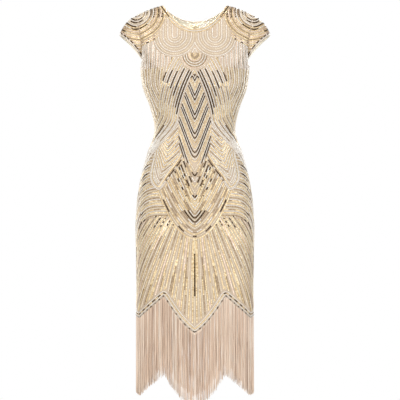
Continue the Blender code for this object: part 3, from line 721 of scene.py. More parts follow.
class Beadwork:
    """Collects beads and sequins on one piece of cloth, line by line."""

    def __init__(self, cloth):
        self.cloth = cloth
        self.face = cloth.normals()
        self.found = {kind: [] for kind in range(len(KINDS))}

    def line(self, line, kind_of, keep, size):
        """One line of beads. kind_of and keep take places, and give kinds and which ones stay."""
        walked = walk(self.cloth.read(self.cloth.points, line))
        for kinds, pitch in PITCHES:
            count = int(walked[-1] / (pitch * size))
            if count < 2:
                continue
            stops = (np.arange(count) + 0.5) * walked[-1] / count
            places = at_stops(stops, walked, line)
            kind = kind_of(places)
            chosen = np.isin(kind, kinds) & keep(places)
            if not chosen.any():
                continue
            points = self.cloth.read(self.cloth.points, places)
            along = unit(np.gradient(points, axis=0))
            out = unit(self.cloth.read(self.face, places))
            rows = np.stack([points, along, out, np.full_like(points, size)], 1)
            for one in kinds:
                mine = chosen & (kind == one)
                if mine.any():
                    self.found[one].append(rows[mine])

    def build(self, name, random):
        """The meshes of all beads of each kind."""
        made = []
        for kind, groups in self.found.items():
            if not groups:
                continue
            points, along, out, size = np.concatenate(groups).transpose(1, 0, 2)
            count = len(points)
            size = size[:, 0] * (1 + UNEVEN * random.normal(0, 1, count).clip(-2, 2))
            side = np.cross(out, along)
            ahead, over = np.split(random.normal(0, 1, (count, 2)), 2, axis=1)
            lift, lean, template = SHELL_HALF, 0.0, BEAD
            if kind in SEQUINS:
                lift, lean, template = SHELL_HALF + SEQUIN_LIFT, SEQUIN_LEAN + UNEVEN * ahead, SEQUIN
                size = size * KIND_SIZE.get(kind, 1.0)
            facing = unit(out + along * lean + side * UNEVEN * over)
            if kind in BUGLES:
                along, template = unit(along + side * BUGLE_TURN * ahead), BUGLE
            made.append(scatter(f"{name}_{KINDS[kind]}", points + out * lift, along, facing, template,
                                BEADS[KINDS[kind]], size))
        return made


def ring(count, radius, height, turned=0.0):
    """A level ring of points round the Z axis, turned by a share of their spacing."""
    angle = (np.arange(count) + turned) / count * 2 * math.pi
    return np.stack([radius * np.cos(angle), radius * np.sin(angle), np.full(count, height)], -1)


def sequin_shape():
    """A shallow eight-sided cup."""
    sides = 8
    points = np.concatenate([ring(sides, SEQUIN_RADIUS, SEQUIN_CUP, 0.5), [[0, 0, 0]]])
    a = np.arange(sides)
    return points, np.stack([a, (a + 1) % sides, np.full(sides, sides)], -1)


def bead_shape():
    """A round bead, open where it lies on the cloth."""
    sides = 5
    top = [[0, 0, BEAD_RADIUS * 1.9]]
    foot, waist = ring(sides, BEAD_RADIUS * 0.75, 0.0), ring(sides, BEAD_RADIUS, BEAD_RADIUS * 0.9)
    a = np.arange(sides)
    b = (a + 1) % sides
    lower = [np.stack([a, b, b + sides], -1), np.stack([a, b + sides, a + sides], -1)]
    upper = np.stack([a + sides, b + sides, np.full(sides, 2 * sides)], -1)
    return np.concatenate([foot, waist, top]), np.concatenate([*lower, upper])


def bugle_shape():
    """A short glass tube along X, open where it lies on the cloth."""
    half, radius = BUGLE_LONG / 2, BUGLE_WIDE / 2
    angles = np.radians((-10, 58, 122, 190))
    arc = np.stack([0 * angles, radius * np.cos(angles), radius * (0.8 + np.sin(angles))], -1)
    rim = arc * (1, 0.55, 0.55) + (0, 0, radius * 0.36)
    stations = ((rim, -half), (arc, -half * 0.9), (arc, half * 0.9), (rim, half))
    faces = []
    count = len(angles)
    for level in range(len(stations) - 1):
        for a in range(level * count, level * count + count - 1):
            faces += [(a, a + 1, a + 1 + count), (a, a + 1 + count, a + count)]
    return np.concatenate([shape + (x, 0, 0) for shape, x in stations]), np.array(faces)[:, ::-1]


SEQUIN, BEAD, BUGLE = sequin_shape(), bead_shape(), bugle_shape()

# ---------------------------------------------------------------- beadwork: the figures
# Traditional line ornament of the 1920s: nested scallops, arches, chevrons, petals and rays.
# "far" is the distance in metres along the cloth from the centre line, and heights are Z.
LINE_PITCH, SIDE_PITCH, SIDE_BOTTOM = 0.0036, 0.0043, -0.45
ARC_X, ARC_PITCH, ARC_DEPTH_SHARE = 0.166, 0.0037, 0.4
SHOULDER_REACH, SHOULDER_BAND, BAND_X = 0.084, 0.097, 0.105
LOOP_X, LOOP_Z, LOOP_RADIUS, LOOP_PITCH, LOOP_FOOT = 0.0575, -0.097, 0.0635, 0.0034, -0.17
SMILE_Z, SMILE_NARROW, SMILE_RADIUS, SMILE_PITCH, SMILE_LIP = -0.155, 1.05, 0.0460, 0.0036, 0.006
HEART_HALF, HEART_TOP, HEART_DIP, CHEVRON_SLOPE = 0.030, -0.118, 0.020, 1.8
LENS_TOP, LENS_BOTTOM, LENS_HALF = -0.205, -0.476, 0.047
LENS_WIDEST, LENS_OPENING, LENS_CLOSING, LENS_ROUNDING = 0.55, 1.6, 3.0, 1.6
LENS_SLOPE, LENS_PITCH, LENS_SIZE = 2.4, 0.0068, 0.74
LENS_SLANT = 0.9  # the way straight to the lens's edge, as a share of the level way
CHEVRON_SHARP, CHEVRON_ROUND = 0.002, 0.034  # the V shapes' rounding at the lens's top, and more below
WING_WIDTH, WING_LONG, WING_OVERLAP = 0.076, 0.32, 0.0005
FLARE_FROM, FLARE_SLOPE, FLARE_ROUNDING = 0.125, 1.1, 0.030
PETAL_TOP, PETAL_TIP, PETAL_ABOVE, RIM_ABOVE = -0.430, -0.5425, 0.02, 0.004
PETAL_AXIS, PETAL_LEAN, PETAL_LEAN_OVER = 0.079, 0.0235, 0.09
# The half width of each side of a petal, and the two powers that shape it.
PETAL_INNER, PETAL_OUTER = (0.051, 1.5, 0.80), (0.047, 2.6, 0.55)
PETAL_FALL, PETAL_ARM_IN, PETAL_ARM_OUT, PETAL_ROUND, PETAL_PITCH = 0.60, 0.666, 0.92, 0.003, 0.0036
RIM_PITCH, RIM_ROWS = 0.0036, 4
SHIELD_FOOT, SHIELD_CURVE, SHIELD_PITCH, SHIELD_REACH = -0.681, 11.9, 0.0058, 0.12
SHIELD_HEAD, SHIELD_SLOPE, SHIELD_ROUNDING, SHIELD_TOP = -0.565, 2.7, 0.005, -0.44
RAY_FOCUS, RAY_BEND, RAY_PITCH = -0.510, 2.0, math.radians(1.75)
FLANK_FAR, FLANK_FOOT, FLANK_WIDE, FLANK_POWER = 0.100, -0.905, 0.42, 2.6
FLANK_INNER, FLANK_PITCH = 0.288, 0.0042
CROWDED, SPARSE, SPARSE_MORE = 0.0034, 0.0068, 0.0040  # spacings where lines merge or split
BORDER_PITCH, BORDER_ROWS = 0.0040, 4
NECK_PITCH, NECK_ROWS = 0.0040, 2
SLEEVE_PITCH, SLEEVE_BORDER_ROWS, SLEEVE_ROW_SHIFT = 0.0036, 2, 0.35
STEEP = 4  # slow measures count this much more as a depth
SHUFFLED = 7


def shuffled(number):
    """A number from 0 to 6 that jumps about from one line to the next."""
    return number * 5 % SHUFFLED


def lens_drop(z):
    """How far down the lens a height lies, from 0 at its top to 1 at its foot."""
    return (LENS_TOP - z) / (LENS_TOP - LENS_BOTTOM)


def lens_opening(z):
    """Half the width of the long lens on the front while it opens, from its top down."""
    return LENS_HALF * (1 - (1 - np.clip(lens_drop(z) / LENS_WIDEST, 0, 1)) ** LENS_OPENING)


def lens_half_width(z):
    closing = np.clip((lens_drop(z) - LENS_WIDEST) / (1 - LENS_WIDEST), 0, 1)
    return lens_opening(z) * (1 - closing**LENS_CLOSING) ** (1 / LENS_ROUNDING)


def wing_edge(z):
    """Where the wings' inner edge lies: along the lens at first, and then out to the hip."""
    past = np.maximum(LENS_TOP - z - FLARE_FROM, 0)
    return lens_opening(z) + FLARE_SLOPE * (past - FLARE_ROUNDING * np.tanh(past / FLARE_ROUNDING))


def petal_axis(z):
    return PETAL_AXIS + PETAL_LEAN * smooth((PETAL_TOP - z) / PETAL_LEAN_OVER)


def petal_sides(z):
    """The hip petal's inner and outer edge at a height."""
    drop = np.clip((PETAL_TOP - z) / (PETAL_TOP - PETAL_TIP), 0, 1)
    inner, outer = (
        width * (1 - drop**fall) ** rounding for width, fall, rounding in (PETAL_INNER, PETAL_OUTER)
    )
    return petal_axis(z) - inner, petal_axis(z) + outer


def distance_to(points, line):
    """Distance of grid points from a line of points."""
    parts = [blend(line[:-1], line[1:], np.full(len(line) - 1, s)) for s in (0, 0.25, 0.5, 0.75)]
    fine = np.concatenate(parts + [line[-1:]])
    return np.array([np.linalg.norm(row[:, None] - fine[None], axis=2).min(axis=1) for row in points])


def shoulder_arcs(points):
    """Distance from the shoulder point, depth counted less, and the turn from down to outward."""
    out, down = np.abs(points[..., 0]) - ARC_X, SHOULDER_TIP[1] - points[..., 2]
    distance = np.sqrt(out**2 + down**2 + (ARC_DEPTH_SHARE * points[..., 1]) ** 2)
    return distance, np.degrees(np.arctan2(out, down))


def line_spacing(flat, field):
    """How far apart a field's lines lie, from flat places on the cloth."""
    (down, over), (rise_down, rise_over) = np.gradient(flat, axis=(0, 1)), np.gradient(field)
    area = down[..., 0] * over[..., 1] - down[..., 1] * over[..., 0]
    area = np.where(np.abs(area) < 1e-12, 1e-12, area)
    across = (rise_down * over[..., 1] - rise_over * down[..., 1]) / area
    up = (rise_over * down[..., 0] - rise_down * over[..., 0]) / area
    return 1 / np.maximum(np.hypot(across, up), 1e-6)


def figures(cloth):
    """What the kinds of beads go by, and the figures on a body panel, first come first served.

    Each figure is a name, how deep inside it a point is, the field whose whole numbers are
    its lines, a function that gives the kind of bead for a line's number and places, and
    the size of its beads.
    """
    x, z = np.abs(cloth.points[:, :, 0]), cloth.points[:, :, 2]
    far = np.abs(cloth.along)
    flat = np.stack([far, z], -1)
    on_yoke = np.arange(len(z))[:, None] > YOKE_FROM
    from_seam = np.where(on_yoke, far[YOKE_FROM].max(), far.max(axis=1, keepdims=True)) - far
    hem = distance_to(cloth.points, cloth.points[0])
    neck = distance_to(cloth.points, cloth.points[-1, x[-1] <= NECK_HALF_WIDTH + 0.001])
    shoulder, turn = shoulder_arcs(cloth.points)
    loop = np.hypot(x - LOOP_X, np.minimum(z - LOOP_Z, 0))
    smile = np.hypot(x * SMILE_NARROW, np.minimum(z - SMILE_Z, 0))
    smile_depth = np.minimum(SMILE_RADIUS - smile, SMILE_Z + SMILE_LIP - z)
    heart_depth = np.minimum(np.minimum(HEART_HALF - x, HEART_TOP - z), z - SMILE_Z + HEART_DIP)

    off_lens = (z < LENS_BOTTOM) | (z > LENS_TOP)
    lens_depth = np.where(off_lens, -1.0, (lens_half_width(z) - far) * LENS_SLANT)
    rounding = CHEVRON_SHARP + CHEVRON_ROUND * np.clip(lens_drop(z), 0, 1) ** 4
    chevron = z - (np.sqrt((LENS_SLOPE * far) ** 2 + rounding**2) - rounding)

    heights = np.linspace(LENS_TOP, LENS_TOP - WING_LONG, 60)
    edge = distance_to(flat, np.stack([wing_edge(heights), heights], -1))
    wing = np.where((far > wing_edge(z)) | (z > LENS_TOP), edge, -edge)

    axis, (inner, outer) = petal_axis(z), petal_sides(z)
    heights = PETAL_TIP + (PETAL_TOP + PETAL_ABOVE - PETAL_TIP) * np.linspace(1, 0, 80) ** 2
    left, right = (np.stack([one, heights], -1) for one in petal_sides(heights))
    rim = distance_to(flat, np.concatenate([left, right[::-1]]))
    in_petal = (far > inner) & (far < outer) & (z > PETAL_TIP) | (z > PETAL_TOP)
    rim = np.where(z > PETAL_TOP + RIM_ABOVE, 1.0, np.where(in_petal, rim, -rim))
    off = far - axis
    arm = np.where(off < 0, PETAL_ARM_IN, PETAL_ARM_OUT)
    petal = PETAL_FALL * (PETAL_TOP - z) + arm * (np.sqrt(off**2 + PETAL_ROUND**2) - PETAL_ROUND)

    over_foot = z - (SHIELD_FOOT + SHIELD_CURVE * far**2)
    rounded = np.hypot(far, SHIELD_ROUNDING) - SHIELD_ROUNDING
    under_head = z - (SHIELD_HEAD + SHIELD_SLOPE * rounded)
    long = SHIELD_HEAD - SHIELD_FOOT
    between = long * over_foot / np.maximum(over_foot - under_head, 1e-4)
    shield = np.where(under_head > 0, long + under_head / SHIELD_SLOPE, between)
    upright = over_foot / np.sqrt(1 + (2 * SHIELD_CURVE * far) ** 2)
    shield_depth = np.where((far < SHIELD_REACH) & (z < SHIELD_TOP), upright, -1.0)

    ray = np.arctan2(far, RAY_FOCUS - RAY_BEND * far**2 - z) / RAY_PITCH
    spacing = line_spacing(flat, ray)
    beyond, over = np.maximum(far - FLANK_FAR, 0) / FLANK_WIDE, np.maximum(z - FLANK_FOOT, 0)
    flank = (beyond**FLANK_POWER + over**FLANK_POWER + 1e-9) ** (1 / FLANK_POWER)
    in_flank, in_rays = flank - FLANK_INNER, (FLANK_INNER - flank) * STEEP
    flank = flank / FLANK_PITCH
    crowding = (CROWDED - line_spacing(flat, flank)) * STEEP
    split = SPARSE + SPARSE_MORE * shuffled(np.rint(ray - 0.5)) / SHUFFLED

    border_depth = BORDER_PITCH * (BORDER_ROWS + 0.5) - hem
    neck_depth = NECK_PITCH * (NECK_ROWS + 0.3) - neck
    wing_depth = np.minimum(WING_WIDTH - wing, wing + WING_OVERLAP)
    rim_depth = np.minimum(rim, RIM_PITCH * (RIM_ROWS + 0.1) - rim)
    measures = {"x": x, "far": far, "z": z, "axis": axis, "spacing": spacing, "turn": turn}
    return measures, [
        ("border", border_depth, hem / BORDER_PITCH + 0.5, border_kind, 0.8),
        ("neck", neck_depth, neck / NECK_PITCH, neck_kind, 0.8),
        ("shoulder", SHOULDER_REACH - shoulder, shoulder / ARC_PITCH, arc_kind, 0.92),
        ("band", np.minimum(SHOULDER_BAND - shoulder, x - BAND_X), shoulder / ARC_PITCH, band_kind, 0.85),
        ("loop", np.minimum(LOOP_RADIUS - loop, z - LOOP_FOOT), loop / LOOP_PITCH, loop_kind, 0.9),
        ("smile", smile_depth, smile / SMILE_PITCH, smile_kind, 0.85),
        ("heart", heart_depth, (z + CHEVRON_SLOPE * x) / (LOOP_PITCH * CHEVRON_SLOPE), loop_kind, 0.9),
        ("lens", lens_depth, chevron / LENS_PITCH, lens_kind, LENS_SIZE),
        ("wing", wing_depth, wing / LINE_PITCH - 0.5, wing_kind, 0.9),
        ("side", np.minimum(wing, z - SIDE_BOTTOM), from_seam / SIDE_PITCH - 0.5, side_kind, 0.9),
        ("rim", rim_depth, rim / RIM_PITCH - 0.4, rim_kind, 0.85),
        ("petal", rim, petal / PETAL_PITCH, petal_kind, 0.95),
        ("shield", shield_depth, shield / SHIELD_PITCH, shield_kind, 1.0),
        ("flank", np.minimum(in_flank, -crowding), flank, flank_kind, 0.95),
        ("close_flank", np.minimum(in_flank, crowding), flank / 2, close_flank_kind, 0.95),
        ("ray", np.minimum(spacing - CROWDED, in_rays), ray, ray_kind, 1.0),
        ("close_ray", np.minimum(CROWDED - spacing, in_rays), ray / 2, close_ray_kind, 1.0),
        ("split_ray", np.minimum(spacing - split, in_rays), ray - 0.5, split_ray_kind, 1.0),
    ]


OVERLAYS = ("flank", "close_flank", "ray", "close_ray", "split_ray")  # these may cross each other
OPEN_EDGED = ("rim", "wing")  # lines run right up to these
# Kinds of the lines of the smile under the loops, from its middle out.
SMILE_KINDS = (IVORY, GOLD, BROWN, BROWN, GOLD, PINK, BROWN, PALE, BROWN, PALE, BROWN, PINK, IVORY)
# Dark arcs round the shoulder point: the arc's number, and the turns between which it is dark.
ARC_BARS = {3: (-62, 70), 6: (-52, 70), 8: (-44, 48), 11: (4, 70), 13: (-44, 24), 17: (36, 70)}
# Dark bars on the wings: the line's number, and the heights between which it is dark.
BARS = {0: (-0.212, -0.338), 2: (-0.203, -0.325), 4: (-0.199, -0.305), 8: (-0.195, -0.272),
        12: (-0.203, -0.252), 16: (-0.199, -0.238), 20: (-0.205, -0.230)}


# In the functions whose names end in _kind, number is a line's number and m holds the
# measures at its places. Most give the lines kinds in turn, and pick out bars and dashes.
def dashes(walked, period, share, shift=0.0):
    """Where dashes lie along a measure: their period, the share that is filled, and a shift."""
    return ((walked / period + shift) % 1) < share


def in_turn(number, *kinds):
    return kinds[number % len(kinds)]


def dark_or_brown(dark, brown, base):
    return np.where(dark, DARK, np.where(brown, BROWN, base))


def border_kind(number, m):
    flecks = (number == 1) & dashes(m.far, 0.013, 0.30)
    second = (number == 3) & (m.far > 0.085) & dashes(m.far, 0.017, 0.50)
    return np.where(flecks | second, DARK, in_turn(number, PALE, SILVER, PALE, GOLD))


def neck_kind(number, m):
    return np.where((number == 1) & (m.x > 0.074), DARK, in_turn(number, GOLD, PALE))


def arc_kind(number, m):
    """Pale and gold arcs round the shoulder point, softer further out, and the dark bars on them."""
    near, outer = (GOLD, PALE, IVORY, IVORY, PALE, IVORY), (GOLD, IVORY, GOLD, PINK)
    low, high = ARC_BARS.get(number, (90, 90))
    seam = (number > 5) & (m.turn < -68 - 0.5 * number)
    broken = seam & (number % 3 == 2) & dashes(m.turn, 7, 0.62, 0.4 * number)
    tan = (number in (11, 17)) & (m.turn < 0) | (number == 21) | seam & (number % 6 == 0)
    dark = (m.turn > low) & (m.turn < high) | broken
    return dark_or_brown(dark, tan, in_turn(number, *(near if number < 14 else outer)))


def band_kind(number, m):
    flecks = (number % 2 == 0) & dashes(m.turn, 13, 0.30, 0.37 * number) & (m.turn > -62)
    return np.where(flecks, DARK if number % 4 else BROWN, in_turn(number, GOLD, PINK))


def loop_kind(number, m):
    return in_turn(number, IVORY, BARE, PALE, BARE)


def smile_kind(number, m):
    return SMILE_KINDS[min(number, len(SMILE_KINDS) - 1)]


def lens_kind(number, m):
    return in_turn(-number, DARK, PALE, DARK, PALE, GOLD, BARE, GOLD, PALE)


def wing_kind(number, m):
    base = in_turn(number, GOLD, PALE, BARE, PALE)
    if number % 2 == 0:
        base = np.where(m.z < -0.235, GOLD, base)
        if number < 9:
            base = np.where(m.z < -0.335 - 0.004 * shuffled(number), PALE, base)
    if number > 8:
        base = np.where(m.z < -0.31, in_turn(number, GOLD, PALE, GOLD, IVORY), base)
    top, bottom = BARS.get(number, (0, 0))
    bar = (m.z < top) & (m.z > bottom)
    tan = (number % 4 == 2) & (m.z < -0.245) & dashes(m.z, 0.09, 0.62, 0.23 * number)
    hip = (number in (9, 12, 15)) & dashes(m.z, 0.06, 0.8, 0.3 * number)
    return dark_or_brown(bar | hip & (m.z < -0.355 - 0.012 * (number - 9)), tan, base)


def side_kind(number, m):
    lower = (IVORY, GOLD, BROWN, PALE) if number < 14 else (GOLD, IVORY, BARE, PALE)
    base = np.where(m.z < -0.19, in_turn(number, *lower), in_turn(number, PINK, PALE, BARE, PALE))
    return np.where((number % 4 == 2) & dashes(m.z, 0.08, 0.32, 0.3 * number), BROWN, base)


def rim_kind(number, m):
    inner = (m.far < m.axis - 0.012) & (m.z > -0.515)
    dark = inner & (number == 0) & dashes(m.z, 0.028, 0.75)
    return dark_or_brown(dark, inner & (number == 1), in_turn(number, PALE, PALE, GOLD, PALE))


def petal_kind(number, m):
    upper = in_turn(number, GOLD, PALE)
    base = np.where(m.z > -0.478, upper, in_turn(number, IVORY, PALE, BARE, PALE))
    tan = (number % 4 == 2) & (m.far < m.axis) & dashes(m.z, 0.05, 0.6, 0.2 * number)
    return np.where(tan, BROWN, base)


def shield_kind(number, m):
    base = in_turn(number, GOLD, IVORY, GOLD, BROWN)
    if number % 4 == 3:
        base = np.where(dashes(m.far, 0.031, 0.45, 0.27 * number), PALE, base)
    heart = (number in (8, 10)) & (m.far < 0.031 - 0.011 * (number == 10))
    bars = (number >= 20) & (number % 2 == 0) & (m.far < 0.040) & dashes(m.z, 0.043, 0.45, 0.37 * number)
    rim = (number == 1) & dashes(m.far, 0.043, 0.40, 0.30)
    flecks = (number in (14, 18, 20)) & (m.far > 0.024) & dashes(m.z, 0.024, 0.34, 0.4 * number)
    tan = (number in (4, 12)) & dashes(m.far, 0.05, 0.5)
    broad = (number in (6, 16)) & dashes(m.far, 0.04, 0.6, 0.1 * number)
    return dark_or_brown(heart | bars | rim | flecks, tan | broad, base)


def flank_kind(number, m):
    dark = (number % 6 == 3) & (m.far > 0.152) & (m.far < 0.205) & dashes(m.z, 0.11, 0.72, 0.31 * number)
    tan = (number % 6 == 3) | (number % 6 == 1) & dashes(m.far, 0.05, 0.4, 0.37 * number)
    return dark_or_brown(dark, tan, in_turn(number, PALE, GOLD, IVORY, GOLD))


def close_flank_kind(number, m):
    dark = (number % 6 == 5) & dashes(m.z, 0.13, 0.6, 0.23 * number)
    return np.where(dark, DARK, in_turn(number, IVORY, PALE, BROWN, PALE, IVORY, GOLD))


def ray_kind(number, m):
    base = np.where((number % 2 == 0) | (m.spacing > SPARSE + SPARSE_MORE / 2), IVORY, GOLD)
    base = np.where((number % 8 == 4) & dashes(m.z, 0.21, 0.6, 0.17 * number), PINK, base)
    tan = (number % 4 == 3) & dashes(m.z, 0.17, 0.55, 0.29 * number)
    top = (number % 4 == 3) & (m.z > -0.650) & (m.far < 0.12) & (m.far > 0.04)
    centre = (number == 0) & (m.z < -0.725) & (m.z > -0.845)
    return dark_or_brown(centre | top & dashes(m.z, 0.011, 0.55, 0.3 * number), tan, base)


def close_ray_kind(number, m):
    return in_turn(number, GOLD, IVORY)


def split_ray_kind(number, m):
    dark = (number % 9 == 4) & dashes(m.z, 0.14, 0.22, 0.21 * number)
    return dark_or_brown(dark, (number % 5 == 2) & dashes(m.z, 0.12, 0.6, 0.31 * number), GOLD)


def bead_panel(cloth, random):
    """All the beadwork of one body panel. A back panel has none on its zip."""
    measures, drawn = figures(cloth)
    names, depths = [row[0] for row in drawn], [row[1] for row in drawn]
    seam = measures["far"].max(axis=1, keepdims=True) - measures["far"]
    work = Beadwork(cloth)

    def read_all(places):
        return SimpleNamespace(**{name: cloth.read(grid, places) for name, grid in measures.items()})

    def inside(order, above, places):
        chosen = cloth.read(depths[order], places) > 0.0
        for other in above:
            margin = 0.0 if names[other] in OPEN_EDGED else EDGE_MARGIN
            chosen &= cloth.read(depths[other], places) < -margin
        chosen &= cloth.read(seam, places) > SEAM_CLEAR
        if cloth.name != "front":
            chosen &= cloth.read(measures["far"], places) > ZIP_CLEAR
        return chosen

    for order, (name, depth, field, kind_of, size) in enumerate(drawn):
        above = [k for k in range(order) if not (name in OVERLAYS and names[k] in OVERLAYS)]
        wanted = depth > -NEAR
        for other in above:
            wanted &= depths[other] < NEAR
        if not wanted.any():
            continue
        for number in range(math.ceil(field[wanted].min()), math.floor(field[wanted].max()) + 1):
            for line in contours(field - number - ON_LINE, wanted):
                work.line(line, lambda places: kind_of(number, read_all(places)),
                          lambda places: inside(order, above, places), size)
    return work.build(cloth.name, random)


def bead_sleeve(cloth, random):
    """Scallops round the shoulder point, and the hem's own rows."""
    work = Beadwork(cloth)
    shoulder, turn = shoulder_arcs(cloth.points)
    hem, edge = (distance_to(cloth.points, cloth.points[row]) for row in (-1, 0))
    border = SLEEVE_PITCH * (SLEEVE_BORDER_ROWS + 0.4)

    def clear(places):
        return (cloth.read(hem, places) > border) & (cloth.read(edge, places) > EDGE_MARGIN)

    everywhere = np.ones_like(hem, bool)
    for number in range(1, int(shoulder.max() / ARC_PITCH) + 1):
        for line in contours(shoulder / ARC_PITCH - number - ON_LINE, everywhere):
            work.line(line, lambda places: arc_kind(number, SimpleNamespace(turn=cloth.read(turn, places))),
                      clear, 0.9)
    for number in range(1, SLEEVE_BORDER_ROWS + 1):
        kind = in_turn(number, DARK, PALE)
        for line in contours(hem / SLEEVE_PITCH - number + SLEEVE_ROW_SHIFT, everywhere):
            work.line(line, lambda places: np.where(dashes(cloth.read(turn, places), 9, 0.7), kind, PALE),
                      lambda places: True, 0.8)
    return work.build(cloth.name, random)


# ---------------------------------------------------------------- pieces
def shell(cloth):
    """The net with its lining: every second line of the cloth's grid, and its last one."""
    rows, columns = (
        np.unique(np.append(np.arange(0, count, SHELL_SKIP), count - 1)) for count in cloth.points.shape[:2]
    )
    points, normals = (layer[rows][:, columns] for layer in (cloth.points, cloth.normals()))
    return wall(cloth.name + "_cloth", points, normals, SHELL_HALF, NET, SATIN)


FRINGE_STRANDS = 13  # for each of the solids' columns, in each of two layers
FRINGE_JITTER, HEADING_LEVELS = 0.06, 4
FRINGE_LAYERS = ((0.0010, 0.0), (-0.0008, 0.5))  # how far out each lies, and its shift along the hem
STRAND_RADIUS, STRAND_LEVELS, STRAND_SIDES = 0.00056, 8, 4
STRAND_TAPER, STRAND_TWIST, STRAND_WAVE, STRAND_WAVE_TURN = 0.12, 1.5, 0.22, 7
FRINGE_DRIFT, FRINGE_OUTWARD = 0.0026, 0.0012
# How many strands drift together: the spare numbers at each end, the window and its level.
TUFT, LOCK = (6, 9, 3.0), (30, 41, 8.0)
TUFT_DRIFT, LOCK_DRIFT, OWN_DRIFT, OUTWARD_EACH = 0.55, 0.50, 0.35, 0.30


def hem_line(side):
    """One side's hem, point by point, and the level directions that face away from the body."""
    rows = panel_points(side, fine_columns(-HALF_COLUMNS, HALF_COLUMNS))
    return rows[0], unit(grid_normals(rows)[0] * -side * (1, 1, 0))


def drifting(random, count, margin, window, level):
    """Random numbers that change slowly from one strand to the next."""
    rough = random.normal(0, 1, count + 2 * margin)
    return np.convolve(rough, np.hanning(window) / level, "same")[margin:-margin]


def fringe_piece(name, side, random):
    """Fine strands under one side's hem, in two layers."""
    hem, face = hem_line(side)
    count = 2 * HALF_COLUMNS * FRINGE_STRANDS
    levels = STRAND_LEVELS + 1
    points, faces = [], []
    for layer, (depth, shift) in enumerate(FRINGE_LAYERS):
        place = (np.arange(count) + 0.25 + shift) / count * (len(hem) - 1)
        place = np.clip(place + random.normal(0, FRINGE_JITTER, count), 0.1, len(hem) - 1.1)
        cell = place.astype(int)
        share = (place - cell)[:, None]
        root = hem[cell] * (1 - share) + hem[cell + 1] * share
        out = unit(face[cell] * (1 - share) + face[cell + 1] * share)
        run = np.cross(out, (0, 0, 1))
        tuft, lock = drifting(random, count, *TUFT), drifting(random, count, *LOCK)
        drift = TUFT_DRIFT * tuft + LOCK_DRIFT * lock + OWN_DRIFT * random.normal(0, 1, count)
        outward = OUTWARD_EACH * lock + OUTWARD_EACH * random.normal(0, 1, count)
        phase = random.uniform(0, 2 * math.pi, count)
        length = FRINGE_LENGTH - FRINGE_UNEVEN * random.random(count) ** 1.5
        for t in np.arange(levels) / STRAND_LEVELS:
            sway = drift * t**1.4 + STRAND_WAVE * np.sin(phase + STRAND_WAVE_TURN * t) * min(1, 3 * t)
            off = depth + FRINGE_OUTWARD * outward * t**1.3
            centre = root + run * (FRINGE_DRIFT * sway)[:, None] + out * off[:, None]
            centre[:, 2] = root[:, 2] - SEAM_GAP - length * t
            width = STRAND_RADIUS * (1 - STRAND_TAPER * t)
            for k in range(STRAND_SIDES):
                turn = phase + 2 * math.pi * k / STRAND_SIDES + STRAND_TWIST * t
                right, ahead = ((width * turned)[:, None] for turned in (np.cos(turn), np.sin(turn)))
                points.append(centre + run * right + out * ahead)
        ids = np.arange(levels * STRAND_SIDES * count).reshape(levels, STRAND_SIDES, count)
        ids = ids + layer * ids.size
        faces += [tube_faces(ids), ids[-1].T]
    return new_mesh(name, np.concatenate(points), np.concatenate(faces), FRINGE)


def fringe_heading(name, side):
    """The narrow band that the strands are knotted into, right under the hem."""
    hem, face = hem_line(side)
    levels = np.linspace(1, 0, HEADING_LEVELS)
    points = np.array([hem - (0, 0, SEAM_GAP + TAPE_HEIGHT * down) for down in levels])
    return wall(name, points, np.array([face] * HEADING_LEVELS), HEADING_HALF, FRINGE, FRINGE)


BINDING_SIDES, BINDING_UNEVEN = 10, 0.05
RIPPLE, RIPPLE_TURN = 0.00022, 9  # how far the lining's ripples rise, and their turn along it
STRIP_COLUMNS = 9
STITCH_LONG, STITCH_PITCH, STITCH_RADIUS, STITCH_IN = 0.0018, 0.0026, 0.00018, 0.35
TOOTH_LONG, TOOTH_PITCH, TOOTH_RADIUS, TOOTH_OFF, TOOTH_LIFT = 0.0034, 0.0016, 0.00062, 0.0007, 0.0003
WELDED, EDGE_TURN = 0.00001, math.radians(40)  # the metal's edges that turn more than this are rounded


def neck_edge(name, cloth, ends):
    """A rolled edge along the neck: a closed tube, slightly uneven, as rolled by hand."""
    chosen = np.abs(cloth.points[-1, :, 0]) <= NECK_HALF_WIDTH + 0.0005
    top, face = cloth.points[-1][chosen], cloth.normals()[-1][chosen]
    run = unit(np.gradient(top, axis=0))
    run[0], run[-1] = ends
    up = np.cross(run, face)
    up *= np.sign(up[:, 2].sum())
    path = top + unit(up) * (BINDING_RADIUS + SEAM_GAP)
    step = np.arange(len(path))
    radii = BINDING_RADIUS * 0.97 * (1 + BINDING_UNEVEN * np.sin(step * 1.9) * np.sin(step * 0.7))
    run = unit(np.gradient(path, axis=0))
    side = unit(np.cross(run, np.array([0.0, 0.0, 1.0]) + 1e-3))
    right, ahead, _ = ring(BINDING_SIDES, 1.0, 0.0).T[:, :, None]
    spokes = side[:, None] * right + np.cross(side, run)[:, None] * ahead
    rings = path[:, None] + radii[:, None, None] * spokes
    index = np.arange(len(path) * BINDING_SIDES).reshape(len(path), BINDING_SIDES)
    fan = np.array([(0, k, k + 1, k + 2) for k in range(1, BINDING_SIDES - 1, 2)])
    faces = np.concatenate([tube_faces(index)[:, ::-1], index[0][fan], index[-1][fan][:, ::-1]])
    return new_mesh(name, rings.reshape(-1, 3), faces, BINDING)


def inner_layer(cloth, layers):
    depth = WALL / 2 + LAYER_GAP + THIN / 2 + (layers - 1) * (THIN + LAYER_GAP)
    return cloth.points - cloth.normals() * depth


